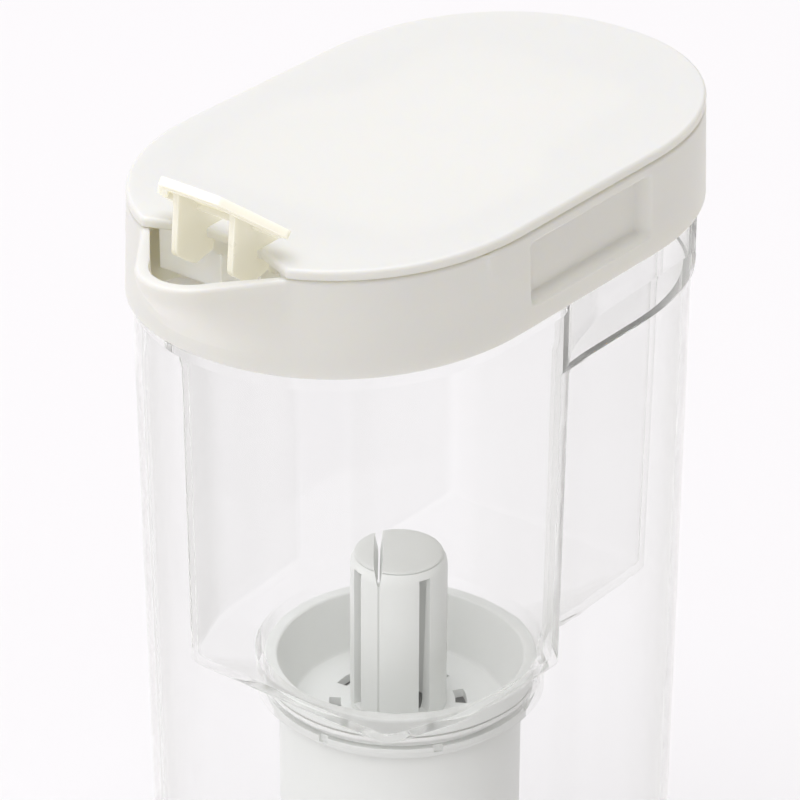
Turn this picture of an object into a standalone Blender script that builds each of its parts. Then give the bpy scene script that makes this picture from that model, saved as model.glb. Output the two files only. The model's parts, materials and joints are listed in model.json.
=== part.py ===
"""Slim water filter pitcher: clear jug, white collar with a beak spout, flat lid with a tilting
spout cover, and a clear reservoir that carries a filter cartridge. Metres, +Z up.

Plan positions are measured from the middle of the straight sides: the spout points along -X.
Heights are stacked from the surface that the jug stands on.
"""
import math

import bmesh
import bpy
import numpy as np
from mathutils import Matrix, Vector

# Oval outline shared by the lid, the collar and the jug
HALF_WIDTH = 0.050
HALF_STRAIGHT = 0.02618
FRONT_AXIS = 0.05511
REAR_AXIS = 0.05823
END_ROUNDNESS_SHARE = 2.117

# Beak of the collar
BEAK_REACH = 0.0972
BEAK_TIP_RADIUS = 0.0128
BEAK_FLANK_ANGLE = math.radians(36.5)
BEAK_BLEND = 0.0007
BEAK_ROOT_HALF = 0.0250

# Heights, each stacked on the one below
FOOT_RECESS = 0.0010
FLOOR_THICK = 0.0030
UNDER_CARTRIDGE = 0.0570
CARTRIDGE_BODY_HEIGHT = 0.0610
LOCK_RING_HEIGHT = 0.0041
SOCKET_LIP_THICK = 0.0017
SOCKET_DEPTH = 0.0169
RESERVOIR_FLOOR = 0.0017
RESERVOIR_DEPTH = 0.1077
LEDGE_THICK = 0.0020
COLLAR_SKIRT = 0.0034
COLLAR_RISE = 0.0189
LID_THICK = 0.0024

# Fits
GAP = 0.0003
LOOSE_GAP = 0.0005
CUT_OVERRUN = 0.0020

# Jug
JUG_WALL = 0.0023
JUG_BAND_INSET = 0.0009
JUG_BODY_INSET = 0.0018
JUG_FOOT_INSET = 0.0022
JUG_FOOT_RADIUS = 0.0050
JUG_FOOT_RIM = 0.0050
JUG_FRONT_DRAFT = 0.0046
BAND_FADE = 0.0120
NECK_INSET = 0.0030
NECK_HEIGHT = 0.0018
POCKET_HEIGHT = 0.0180
POCKET_FLOOR_LIP = 0.0006
POCKET_TIP_X = -0.0110
POCKET_CURVE_X = 0.0030
POCKET_CURVE_SHARE = 0.884
POCKET_TURN_X = 0.0210
POCKET_FRONT_SHARE = 0.782
POCKET_REAR_X = 0.0700
POCKET_REAR_SHARE = 0.740
POCKET_TURN_RADIUS = 0.0200

# Collar
COLLAR_WALL = 0.0022
COLLAR_FLARE = 0.0009
RIM_RADIUS = 0.0008
RECESS_FRONT_X = -0.0235
RECESS_REAR_X = 0.0260
RECESS_DEPTH = 0.0032
RECESS_WALL = 0.0015
RECESS_RAMP = 0.0030
RECESS_TOP_DROP = 0.0024
RECESS_HEIGHT = 0.0169
RECESS_CORNER = 0.0012
POUR_FRONT_X = -0.0752
POUR_REAR_X = -0.0610
POUR_FRONT_HALF = 0.0150
POUR_REAR_SHARE = 0.620
POUR_RADIUS = 0.0040
SEAL_THICK = 0.0010
SEAL_INNER_STEP = 0.0002

# Reservoir
RESERVOIR_FRONT_X = -0.0545
RESERVOIR_FRONT_SHARE = 0.654
RESERVOIR_SHOULDER_X = -0.0330
RESERVOIR_SHOULDER_SHARE = 0.824
RESERVOIR_WIDE_X = 0.0000
RESERVOIR_WIDE_SHARE = 0.866
RESERVOIR_STEP_X = 0.0120
RESERVOIR_LOBE_SHARE = 0.664
RESERVOIR_REAR_X = 0.0590
RESERVOIR_CORNER = 0.0035
RESERVOIR_SHOULDER_RADIUS = 0.0300
RESERVOIR_REAR_RADIUS = 0.0120
RESERVOIR_WALL = 0.0017
RESERVOIR_TAPER = 0.0008
RESERVOIR_JOG = 0.0006
RESERVOIR_JOG_DROP = 0.0285
RESERVOIR_JOG_HEIGHT = 0.0025
RESERVOIR_FLOOR_RADIUS = 0.0022
RESERVOIR_FLANGE = 0.0014
RESERVOIR_FLANGE_THICK = 0.0015
RESERVOIR_RIM_RISE = 0.0115

# Cartridge
CARTRIDGE_X = -0.0076
SOCKET_WALL = 0.0018
CUP_RIM_SHARE = 0.688
CUP_RIM_HEIGHT = 0.0045
CUP_RIM_WALL = 0.0033
CUP_SHANK_STEP = 0.0016
CUP_LOCK_STEP = 0.0028
CUP_DEPTH = 0.0151
CUP_FLOOR_STEP = 0.0074
CUP_FLOOR_THICK = 0.0024
CUP_SLOT_INNER = 0.0148
CUP_SLOT_OUTER = 0.0190
CUP_SLOT_COUNT = 8
CUP_SLOT_SHARE = 0.62
LIP_STEP = 0.0008
LOCK_RING_STEP = 0.0010
LOCK_NOTCH_COUNT = 9
LOCK_NOTCH_WIDTH = 0.0020
LOCK_NOTCH_HEIGHT = 0.0016
LOCK_NOTCH_DEPTH = 0.0007
SHELL_STEP = 0.0036
SHELL_WALL = 0.0018
POST_RADIUS = 0.01235
POST_WALL = 0.0018
POST_FOOT_DROP = 0.0018
POST_HEIGHT = 0.0438
POST_GROOVE = 0.0021
POST_GROOVE_COUNT = 4
POST_GROOVE_TURN = math.radians(62)
POST_CAP_HEIGHT = 0.0052
POST_CAP_DOME = 0.0026
POST_CAP_SPIGOT = 0.0040
POST_SLIT = 0.0011
POST_SLIT_DEPTH = 0.0110
POST_SLIT_TURN = math.radians(-83)
MESH_THICK = 0.0006
PAD_THICK = 0.0020
CARBON_SHARE = 0.46
SEPARATOR_THICK = 0.0020
FIBRE_MARGIN = 0.0026
POTTING_THICK = 0.0044
OUTLET_CAP_HEIGHT = 0.0062
OUTLET_CAP_WALL = 0.0020
OUTLET_SLOT_COUNT = 10
OUTLET_SLOT_WIDTH = 0.0020
OUTLET_SLOT_INNER = 0.0080
OUTLET_SLOT_MARGIN = 0.0078

# Lid and spout cover
LID_EDGE_RADIUS = 0.0008
NOTCH_CORNER_X = -0.0767
NOTCH_CORNER_HALF = 0.0216
NOTCH_INNER_X = -0.0725
NOTCH_INNER_HALF = 0.0110
TAB_FRONT_X = -0.0703
TAB_CORNER = 0.0012
SLOT_REAR_X = -0.0612
LID_SKIRT_DEPTH = 0.0102
LID_SKIRT_WALL = 0.0016
LID_FLANGE_THICK = 0.0013
LID_FLANGE_STEP = 0.0012
LID_SEAL_WIDTH = 0.0012
LID_SEAL_HEIGHT = 0.0026
LID_SEAL_DROP = 0.0070
BOSS_HEIGHT = 0.0048
BOSS_FRONT_X = -0.0685
BOSS_WIDTH = 0.0026
BOSS_END_WALL = 0.0009
HINGE_X = -0.0647
HINGE_DROP = 0.0038
PIN_RADIUS = 0.0012
PIN_BORE_CLEARANCE = 0.00015
ARM_HALF = 0.0083
ARM_THICK = 0.0017
ARM_GAP = 0.0004
ARM_EYE_RADIUS = 0.0026
ARM_EYE_FOOT = math.radians(-30)
ARM_EYE_CROWN = math.radians(90)
ARM_FRONT_X = -0.0216
ARM_TOE_X = -0.0124
ARM_TOE_DROP = 0.0103
ARM_HEEL_X = -0.0044
ARM_HEEL_DROP = 0.0098
ARM_ROUND = 0.0022
COVER_OPEN = math.radians(39.5)
COVER_THICK = 0.0021
COVER_BASE_X = -0.0749
COVER_BASE_HALF = 0.0199
COVER_CHAMFER = 0.0018
COVER_CHAMFER_HALF = 0.0150
COVER_TIP_X = -0.0927
COVER_TIP_HALF = 0.0086
COVER_CORNER = 0.0014
COVER_RIM_DROP = 0.0004
COVER_RIM_INSET = 0.0012
COVER_RIM_WALL = 0.0014
COVER_REAR_SHARE = 0.55

# Smoothness of round shapes
END_STEPS = 8
FRONT_STEPS = 6
SIDE_STEPS = 6
BEAK_STEPS = 9
ROUND_STEPS = 36
SMALL_STEPS = 14
FILLET_STEPS = 4
SMOOTH_ANGLE = math.radians(32)
NEAR_ZERO = 1e-9

# Widths and radii worked out from the outline's half-width and the cup's rim
POCKET_CURVE_HALF = HALF_WIDTH * POCKET_CURVE_SHARE
POCKET_FRONT_HALF = HALF_WIDTH * POCKET_FRONT_SHARE
POCKET_REAR_HALF = HALF_WIDTH * POCKET_REAR_SHARE
POUR_REAR_HALF = HALF_WIDTH * POUR_REAR_SHARE
RESERVOIR_FRONT_HALF = HALF_WIDTH * RESERVOIR_FRONT_SHARE
RESERVOIR_SHOULDER_HALF = HALF_WIDTH * RESERVOIR_SHOULDER_SHARE
RESERVOIR_WIDE_HALF = HALF_WIDTH * RESERVOIR_WIDE_SHARE
RESERVOIR_LOBE_HALF = HALF_WIDTH * RESERVOIR_LOBE_SHARE
CUP_RIM_RADIUS = HALF_WIDTH * CUP_RIM_SHARE
CUP_SHANK_RADIUS = CUP_RIM_RADIUS - CUP_SHANK_STEP
CUP_LOCK_RADIUS = CUP_RIM_RADIUS - CUP_LOCK_STEP
CUP_FLOOR_RADIUS = CUP_RIM_RADIUS - CUP_FLOOR_STEP
LIP_INNER_RADIUS = CUP_RIM_RADIUS - LIP_STEP
LOCK_RING_RADIUS = CUP_RIM_RADIUS - LOCK_RING_STEP
SHELL_RADIUS = CUP_RIM_RADIUS - SHELL_STEP
OUTLET_SLOT_OUTER = SHELL_RADIUS - OUTLET_SLOT_MARGIN

# Heights worked out from the stack
Z_FLOOR = FOOT_RECESS + FLOOR_THICK
Z_CARTRIDGE = Z_FLOOR + UNDER_CARTRIDGE
Z_SHELL_TOP = Z_CARTRIDGE + CARTRIDGE_BODY_HEIGHT
Z_LOCK = Z_SHELL_TOP + GAP
Z_SOCKET = Z_LOCK + LOCK_RING_HEIGHT + GAP
Z_LIP = Z_SOCKET + SOCKET_LIP_THICK
Z_RES_UNDER = Z_SOCKET + SOCKET_DEPTH + SOCKET_LIP_THICK
Z_RES_FLOOR = Z_RES_UNDER + RESERVOIR_FLOOR
Z_FLANGE = Z_RES_FLOOR + RESERVOIR_DEPTH
Z_LEDGE = Z_FLANGE - GAP - LEDGE_THICK
Z_COLLAR = Z_LEDGE - COLLAR_SKIRT
Z_COLLAR_TOP = Z_LEDGE + LEDGE_THICK + COLLAR_RISE
Z_LID_UNDER = Z_COLLAR_TOP + GAP
Z_LID = Z_LID_UNDER + LID_THICK
Z_SHOULDER = Z_COLLAR - GAP
Z_NECK = Z_SHOULDER + NECK_HEIGHT + GAP
Z_POCKET = Z_COLLAR - POCKET_HEIGHT
Z_CUP_SEAT = Z_LIP + GAP + SEAL_THICK + GAP
Z_CUP_RIM = Z_CUP_SEAT + CUP_RIM_HEIGHT
Z_CUP_FLOOR = Z_CUP_RIM - CUP_DEPTH
Z_CUP_UNDER = Z_CUP_FLOOR - CUP_FLOOR_THICK
Z_HINGE = Z_LID - HINGE_DROP

# The frame's origin is the middle of the whole outline, beak included
REAR_REACH = HALF_STRAIGHT + REAR_AXIS + COLLAR_FLARE
CENTRE_SHIFT = (BEAK_REACH - REAR_REACH) / 2

COLOURS = {
    "white": ((0.86, 0.85, 0.81), 0.32, 1.0),
    "milky": ((0.88, 0.87, 0.80), 0.28, 1.0),
    "clear": ((0.93, 0.95, 0.94), 0.05, 0.25),
    "grey": ((0.74, 0.76, 0.73), 0.38, 1.0),
    "silicone": ((0.80, 0.80, 0.78), 0.60, 1.0),
    "steel": ((0.62, 0.62, 0.60), 0.25, 1.0),
    "felt": ((0.90, 0.90, 0.86), 0.95, 1.0),
    "carbon": ((0.05, 0.05, 0.05), 0.90, 1.0),
    "resin": ((0.82, 0.76, 0.60), 0.45, 1.0),
    "fibre": ((0.93, 0.93, 0.90), 0.70, 1.0),
}


def clear_scene():
    for item in list(bpy.data.objects):
        bpy.data.objects.remove(item, do_unlink=True)


def material(name):
    """One Principled finish, made once and shared."""
    made = bpy.data.materials.get(name)
    if made:
        return made
    colour, rough, alpha = COLOURS[name]
    made = bpy.data.materials.new(name)
    made.use_nodes = True
    shader = made.node_tree.nodes["Principled BSDF"]
    shader.inputs["Base Color"].default_value = (*colour, 1.0)
    shader.inputs["Roughness"].default_value = rough
    shader.inputs["Metallic"].default_value = 1.0 if name == "steel" else 0.0
    shader.inputs["Alpha"].default_value = alpha
    return made


def piece(name, mesh_data, finish, origin):
    """Turn a bmesh, in plan positions and real heights, into a named object with its own origin."""
    bmesh.ops.recalc_face_normals(mesh_data, faces=mesh_data.faces)
    bmesh.ops.translate(mesh_data, verts=mesh_data.verts, vec=-Vector(origin))
    mesh = bpy.data.meshes.new(name)
    mesh_data.to_mesh(mesh)
    mesh_data.free()
    mesh.materials.append(material(finish))
    mesh.shade_smooth()
    mesh.set_sharp_from_angle(angle=SMOOTH_ANGLE)
    made = bpy.data.objects.new(name, mesh)
    made.location = Vector(origin) + Vector((CENTRE_SHIFT, 0, 0))
    bpy.context.scene.collection.objects.link(made)
    return made


def rounded_path(corners, steps=FILLET_STEPS):
    """Points of an open path whose corners (x, y, radius) are rounded by tangent arcs."""
    points = []
    for i, (x, y, radius) in enumerate(corners):
        here = Vector((x, y))
        if radius == 0 or i in (0, len(corners) - 1):
            points.append(here)
            continue
        before = (Vector(corners[i - 1][:2]) - here).normalized()
        after = (Vector(corners[i + 1][:2]) - here).normalized()
        half = before.angle(after) / 2
        reach = radius / math.tan(half)
        centre = here + (before + after).normalized() * (radius / math.sin(half))
        start = here + before * reach - centre
        end = here + after * reach - centre
        sweep = start.angle_signed(end)
        for k in range(steps + 1):
            points.append(centre + Matrix.Rotation(-sweep * k / steps, 2) @ start)
    return np.array([tuple(p) for p in points])


def mirrored(half):
    """Close a path that runs from y = 0 to y = 0 on the +Y side with its mirror image."""
    other = half[1:-1][::-1] * np.array([1, -1])
    return np.vstack([half, other])


def offset(outline, distance):
    """Move a closed outline outward, along normals taken from each point's neighbours."""
    along = np.roll(outline, -1, 0) - np.roll(outline, 1, 0)
    along /= np.linalg.norm(along, axis=1)[:, None]
    normal = np.column_stack([along[:, 1], -along[:, 0]])
    area = np.sum(outline[:, 0] * np.roll(outline[:, 1], -1) - outline[:, 1] * np.roll(outline[:, 0], -1))
    return outline + normal * np.reshape(distance, (-1, 1)) * (1 if area > 0 else -1)


def shrunk(corners, distance):
    """A half outline's corners (x, y, radius) with every side moved inward and tighter rounding."""
    points = [Vector(corner[:2]) for corner in corners]
    moved = []
    for before, here, after, corner in zip(points, points[1:], points[2:], corners[1:]):
        back = (before - here).normalized()
        on = (after - here).normalized()
        place = here + (back + on).normalized() * distance / math.sin(back.angle(on) / 2)
        moved.append((place.x, place.y, corner[2] / 2))
    return [(moved[0][0], 0, 0)] + moved + [(moved[-1][0], 0, 0)]


def side_stations():
    """Places along the straight side, from rear to front, where the recess and pocket need points."""
    fixed = [RECESS_REAR_X, RECESS_REAR_X - RECESS_RAMP, RECESS_FRONT_X + RECESS_RAMP, RECESS_FRONT_X]
    between = np.linspace(fixed[1], fixed[2], SIDE_STEPS)[1:-1]
    return sorted([x for x in fixed + list(between) if abs(x) < HALF_STRAIGHT], reverse=True)


def oval():
    """The shared plan outline, counter-clockwise from the rear, with close points where the beak is."""
    power = 2 / END_ROUNDNESS_SHARE
    half = []
    for k in range(END_STEPS + 1):
        turn = math.pi / 2 * k / END_STEPS
        half.append((HALF_STRAIGHT + REAR_AXIS * math.cos(turn) ** power,
                     HALF_WIDTH * math.sin(turn) ** power))
    half += [(x, HALF_WIDTH) for x in side_stations()]
    front_turn = math.asin((BEAK_ROOT_HALF / HALF_WIDTH) ** (1 / power))
    for k in range(FRONT_STEPS):
        turn = math.pi / 2 + (math.pi / 2 - front_turn) * k / FRONT_STEPS
        half.append((-HALF_STRAIGHT - FRONT_AXIS * abs(math.cos(turn)) ** power,
                     HALF_WIDTH * math.sin(turn) ** power))
    for k in range(BEAK_STEPS + 1):
        y = BEAK_ROOT_HALF * (1 - k / BEAK_STEPS)
        reach = (1 - (y / HALF_WIDTH) ** END_ROUNDNESS_SHARE) ** (1 / END_ROUNDNESS_SHARE)
        half.append((-HALF_STRAIGHT - FRONT_AXIS * reach, y))
    half[0] = (half[0][0], 0)
    half[-1] = (half[-1][0], 0)
    return mirrored(np.array(half))


OVAL = oval()


def beaked(amount):
    """The oval with its nose drawn out by the given share into a beak with a round tip."""
    apex = -BEAK_REACH - BEAK_TIP_RADIUS * (1 / math.sin(BEAK_FLANK_ANGLE) - 1)
    across = np.abs(OVAL[:, 1])
    flank = apex + across / math.tan(BEAK_FLANK_ANGLE)
    centre = BEAK_TIP_RADIUS - BEAK_REACH
    arc = centre - np.sqrt(np.maximum(BEAK_TIP_RADIUS ** 2 - across ** 2, 0))
    nose = np.where(across < BEAK_TIP_RADIUS * math.cos(BEAK_FLANK_ANGLE), arc, flank)
    blend = -BEAK_BLEND * np.logaddexp(-nose / BEAK_BLEND, -OVAL[:, 0] / BEAK_BLEND)
    front = OVAL[:, 0] < -HALF_STRAIGHT
    result = OVAL.copy()
    result[front, 0] += amount * (blend[front] - OVAL[front, 0])
    return result


def smooth_share(value):
    value = min(max(value, 0), 1)
    return value * value * (3 - 2 * value)


def recess_share(x, z):
    """How much of the finger recess's depth is cut at a place on the collar's side."""
    along = min((x - RECESS_FRONT_X) / RECESS_RAMP, (RECESS_REAR_X - x) / RECESS_RAMP)
    top = Z_COLLAR_TOP - RECESS_TOP_DROP
    up = min((top - z) / RECESS_CORNER, (z - top + RECESS_HEIGHT) / RECESS_CORNER)
    return smooth_share(along) * min(max(up, 0), 1)


def collar_ring(z, inward):
    """The collar's outline at a height: beak, flare and finger recesses, moved inward by a wall."""
    rise = (z - Z_COLLAR) / (Z_COLLAR_TOP - Z_COLLAR)
    outline = offset(beaked(smooth_share(rise)), COLLAR_FLARE * (1 - rise) - inward)
    depth = RECESS_DEPTH if inward == 0 else RECESS_DEPTH + RECESS_WALL - COLLAR_WALL
    for k, (x, y) in enumerate(outline):
        if abs(x) < HALF_STRAIGHT + RECESS_RAMP:
            outline[k, 1] -= math.copysign(depth * recess_share(x, z), y)
    return outline


def pocket_limit(x):
    """Half-width of the jug's outer wall inside the grip pockets."""
    corners = [(POCKET_TIP_X, HALF_WIDTH, 0), (POCKET_CURVE_X, POCKET_CURVE_HALF, POCKET_TURN_RADIUS),
               (POCKET_TURN_X, POCKET_FRONT_HALF, POCKET_TURN_RADIUS),
               (POCKET_REAR_X, POCKET_REAR_HALF, 0)]
    wall = rounded_path(corners)
    beyond = np.interp(x, wall[:, 0], wall[:, 1])
    return np.where(x > POCKET_TIP_X, beyond, HALF_WIDTH)


def jug_ring(inset, z, pocket=False, inward=0, below_band=False):
    """The jug's outline at a height; the nose has no step at the band and leans back to the foot."""
    behind = np.clip((OVAL[:, 0] - POCKET_TIP_X + BAND_FADE) / BAND_FADE, 0, 1)
    relief = (JUG_BODY_INSET - JUG_BAND_INSET) * (1 - behind) if below_band else 0
    outline = offset(OVAL, relief - inset - inward)
    if pocket:
        limit = pocket_limit(outline[:, 0]) - inward
        outline[:, 1] = np.clip(outline[:, 1], -limit, limit)
    fall = max(Z_POCKET - z, 0) / Z_POCKET
    front = outline[:, 0] < -HALF_STRAIGHT
    outline[front, 0] += fall * JUG_FRONT_DRAFT * (-outline[front, 0] - HALF_STRAIGHT) / FRONT_AXIS
    return outline


def loft(rings, capped=False):
    """Skin a list of (outline, height) rings: capped at both ends, or joined into a closed sleeve."""
    body = bmesh.new()
    loops = [[body.verts.new((x, y, z)) for x, y in outline] for outline, z in rings]
    pairs = list(zip(loops, loops[1:]))
    if not capped:
        pairs.append((loops[-1], loops[0]))
    for low, high in pairs:
        for k in range(len(low)):
            nxt = (k + 1) % len(low)
            body.faces.new((low[k], low[nxt], high[nxt], high[k]))
    if capped:
        body.faces.new(loops[0])
        body.faces.new(loops[-1])
    return body


def turned(profile, steps=ROUND_STEPS, centre_x=CARTRIDGE_X):
    """Spin a closed profile of (radius, height) about the cartridge's axis."""
    body = bmesh.new()
    loops = []
    for radius, z in profile:
        if radius == 0:
            loops.append([body.verts.new((centre_x, 0, z))])
            continue
        loops.append([body.verts.new((centre_x + radius * math.cos(math.tau * k / steps),
                                      radius * math.sin(math.tau * k / steps), z))
                      for k in range(steps)])
    closed = profile[0][0] != 0
    pairs = list(zip(loops, loops[1:])) + ([(loops[-1], loops[0])] if closed else [])
    for a, b in pairs:
        for k in range(steps):
            nxt = (k + 1) % steps
            if len(a) == 1:
                body.faces.new((a[0], b[nxt], b[k]))
            elif len(b) == 1:
                body.faces.new((a[k], a[nxt], b[0]))
            else:
                body.faces.new((a[k], a[nxt], b[nxt], b[k]))
    return body


def disc(radius, low, high):
    return turned([(0, low), (radius, low), (radius, high), (0, high)])


def prism(outline, low, high):
    return loft([(outline, low), (outline, high)], capped=True)


def box(low, high):
    """A cutter or block between two corners."""
    x0, y0, z0 = low
    x1, y1, z1 = high
    return prism(np.array([(x0, y0), (x1, y0), (x1, y1), (x0, y1)]), z0, z1)


def cutter(name, mesh_data, origin=(0, 0, 0)):
    """A guide solid that only other pieces are cut with."""
    made = piece(name, mesh_data, "white", origin)
    made.hide_render = True
    made.display_type = "WIRE"
    return made


def cut(target, tool, operation="DIFFERENCE"):
    change = target.modifiers.new(tool.name, "BOOLEAN")
    change.operation = operation
    change.object = tool


def soften(target, width, segments=2, angle=math.radians(50)):
    """Round the sharp edges of a moulded piece."""
    change = target.modifiers.new("edge", "BEVEL")
    change.width = width
    change.segments = segments
    change.limit_method = "ANGLE"
    change.angle_limit = angle


def ring_of(count, make):
    """Join a cutter repeated round the cartridge's axis."""
    body = bmesh.new()
    for k in range(count):
        part = make()
        turn = Matrix.Rotation(math.tau * k / count, 4, "Z")
        centre = Matrix.Translation((CARTRIDGE_X, 0, 0))
        bmesh.ops.transform(part, matrix=centre @ turn @ centre.inverted(), verts=part.verts)
        mesh = bpy.data.meshes.new("repeat")
        part.to_mesh(mesh)
        part.free()
        body.from_mesh(mesh)
        bpy.data.meshes.remove(mesh)
    return body


def reservoir_outline(grow=0):
    """The reservoir's plan: flat front, sides that follow the jug, and a narrow lobe between pockets."""
    corners = [(RESERVOIR_REAR_X, 0, 0),
               (RESERVOIR_REAR_X, RESERVOIR_LOBE_HALF, RESERVOIR_REAR_RADIUS),
               (RESERVOIR_STEP_X, RESERVOIR_LOBE_HALF, RESERVOIR_CORNER),
               (RESERVOIR_WIDE_X, RESERVOIR_WIDE_HALF, RESERVOIR_CORNER),
               (RESERVOIR_SHOULDER_X, RESERVOIR_SHOULDER_HALF, RESERVOIR_SHOULDER_RADIUS),
               (RESERVOIR_FRONT_X, RESERVOIR_FRONT_HALF, RESERVOIR_CORNER),
               (RESERVOIR_FRONT_X, 0, 0)]
    return offset(mirrored(rounded_path(corners)), grow)


def radial(outline, directions):
    """Where rays from the cartridge's axis, at the given angles, meet an outline."""
    angles = np.unwrap(np.arctan2(outline[:, 1], outline[:, 0] - CARTRIDGE_X))
    reach = np.hypot(outline[:, 0] - CARTRIDGE_X, outline[:, 1])
    result = []
    closed = np.vstack([outline, outline[:1]])
    for turn in directions:
        way = np.array([math.cos(turn), math.sin(turn)])
        best = reach.min()
        for (ax, ay), (bx, by) in zip(closed, closed[1:]):
            side = np.array([[way[0], ax - bx], [way[1], ay - by]])
            if abs(np.linalg.det(side)) < NEAR_ZERO:
                continue
            far, along = np.linalg.solve(side, [ax - CARTRIDGE_X, ay])
            if far > 0 and -NEAR_ZERO <= along <= 1 + NEAR_ZERO:
                best = max(best, far)
        result.append((CARTRIDGE_X + best * way[0], best * way[1]))
    return np.array(result)


def directions_of(outline):
    return np.arctan2(outline[:, 1], outline[:, 0] - CARTRIDGE_X)


def close_directions(outline):
    """The outline's own corner directions, with even ones between them, sorted and well apart."""
    even = np.linspace(-math.pi, math.pi, ROUND_STEPS + 1)[:-1]
    corners = directions_of(outline)
    clear = [turn for turn in even if np.abs(corners - turn).min() > math.tau / ROUND_STEPS / 3]
    return np.sort(np.concatenate([corners, clear]))


def make_jug():
    """Clear vessel: recessed foot, leaning nose, a grip pocket on each side and a low neck."""
    rim = JUG_FOOT_INSET + JUG_FOOT_RADIUS + JUG_FOOT_RIM
    rings = [(jug_ring(rim, 0, below_band=True), FOOT_RECESS),
             (jug_ring(rim - FOOT_RECESS, 0, below_band=True), 0)]
    for k in range(FILLET_STEPS + 1):
        turn = math.pi / 2 * k / FILLET_STEPS
        inset = JUG_FOOT_INSET + JUG_FOOT_RADIUS * (1 - math.sin(turn))
        rings.append((jug_ring(inset, 0, below_band=True), JUG_FOOT_RADIUS * (1 - math.cos(turn))))
    rings += [(jug_ring(JUG_BODY_INSET, Z_POCKET, below_band=True),
               Z_POCKET - POCKET_FLOOR_LIP - JUG_BAND_INSET),
              (jug_ring(JUG_BAND_INSET, Z_POCKET), Z_POCKET - POCKET_FLOOR_LIP),
              (jug_ring(JUG_BAND_INSET, Z_POCKET), Z_POCKET),
              (jug_ring(JUG_BAND_INSET, Z_POCKET, pocket=True), Z_POCKET),
              (jug_ring(JUG_BAND_INSET, Z_SHOULDER, pocket=True), Z_SHOULDER),
              (jug_ring(NECK_INSET, Z_SHOULDER, pocket=True), Z_SHOULDER),
              (jug_ring(NECK_INSET, Z_NECK, pocket=True), Z_NECK),
              (jug_ring(NECK_INSET, Z_NECK, pocket=True, inward=JUG_WALL), Z_NECK),
              (jug_ring(NECK_INSET, Z_SHOULDER, pocket=True, inward=JUG_WALL), Z_SHOULDER - JUG_WALL),
              (jug_ring(JUG_BAND_INSET, Z_POCKET, pocket=True, inward=JUG_WALL), Z_SHOULDER - 2 * JUG_WALL),
              (jug_ring(JUG_BAND_INSET, Z_POCKET, pocket=True, inward=JUG_WALL), Z_POCKET - JUG_WALL),
              (jug_ring(JUG_BODY_INSET, Z_POCKET, inward=JUG_WALL, below_band=True), Z_POCKET - JUG_WALL),
              (jug_ring(JUG_FOOT_INSET, 0, inward=JUG_WALL, below_band=True), Z_FLOOR + JUG_FOOT_RADIUS),
              (jug_ring(JUG_FOOT_INSET + JUG_FOOT_RADIUS, 0, inward=JUG_WALL, below_band=True), Z_FLOOR)]
    return piece("jug", loft(rings, capped=True), "clear", (0, 0, 0))


def make_collar():
    """White rim: beak spout, finger recesses, ledge for the reservoir and opening for the pouring way."""
    top_of_recess = Z_COLLAR_TOP - RECESS_TOP_DROP
    foot_of_recess = top_of_recess - RECESS_HEIGHT
    levels = [Z_COLLAR_TOP - RIM_RADIUS, top_of_recess, top_of_recess - RECESS_CORNER]
    levels += list(np.linspace(top_of_recess - RECESS_CORNER, foot_of_recess + RECESS_CORNER, 5)[1:-1])
    levels += [foot_of_recess + RECESS_CORNER, foot_of_recess, Z_COLLAR]
    rings = [(offset(collar_ring(Z_COLLAR_TOP, 0), -RIM_RADIUS), Z_COLLAR_TOP)]
    rings += [(collar_ring(z, 0), z) for z in levels]
    neck = jug_ring(NECK_INSET, Z_SHOULDER, pocket=True, inward=-LOOSE_GAP)
    ledge_hole = radial(reservoir_outline(-COLLAR_WALL), directions_of(OVAL))
    ledge_top = Z_LEDGE + LEDGE_THICK
    rings += [(neck, Z_COLLAR), (neck, Z_LEDGE), (ledge_hole, Z_LEDGE), (ledge_hole, ledge_top)]
    inside = [ledge_top] + [z for z in levels[::-1] if z > ledge_top + GAP]
    rings += [(collar_ring(z, COLLAR_WALL), z) for z in inside]
    rings.append((offset(collar_ring(Z_COLLAR_TOP, COLLAR_WALL), RIM_RADIUS), Z_COLLAR_TOP))
    collar = piece("collar", loft(rings), "white", (0, 0, 0))
    pour = mirrored(rounded_path([(POUR_REAR_X, 0, 0), (POUR_REAR_X, POUR_REAR_HALF, POUR_RADIUS),
                                  (POUR_FRONT_X, POUR_FRONT_HALF, POUR_RADIUS), (POUR_FRONT_X, 0, 0)]))
    hole = prism(reservoir_outline(LOOSE_GAP), Z_LEDGE - CUT_OVERRUN, ledge_top + CUT_OVERRUN)
    cut(collar, cutter("reservoir_opening", hole))
    cut(collar, cutter("pour_opening", prism(pour, Z_LEDGE - CUT_OVERRUN, ledge_top + CUT_OVERRUN)))
    return collar


def make_collar_seal():
    """Flat silicone packing between the jug's neck and the collar's ledge."""
    outer = jug_ring(NECK_INSET, Z_SHOULDER, pocket=True, inward=SEAL_INNER_STEP)
    inner = jug_ring(NECK_INSET, Z_SHOULDER, pocket=True, inward=JUG_WALL - SEAL_INNER_STEP)
    low = Z_NECK + GAP
    high = Z_LEDGE - GAP
    return piece("collar_seal", loft([(outer, low), (inner, low), (inner, high), (outer, high)]),
                 "silicone", (0, 0, 0))


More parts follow.
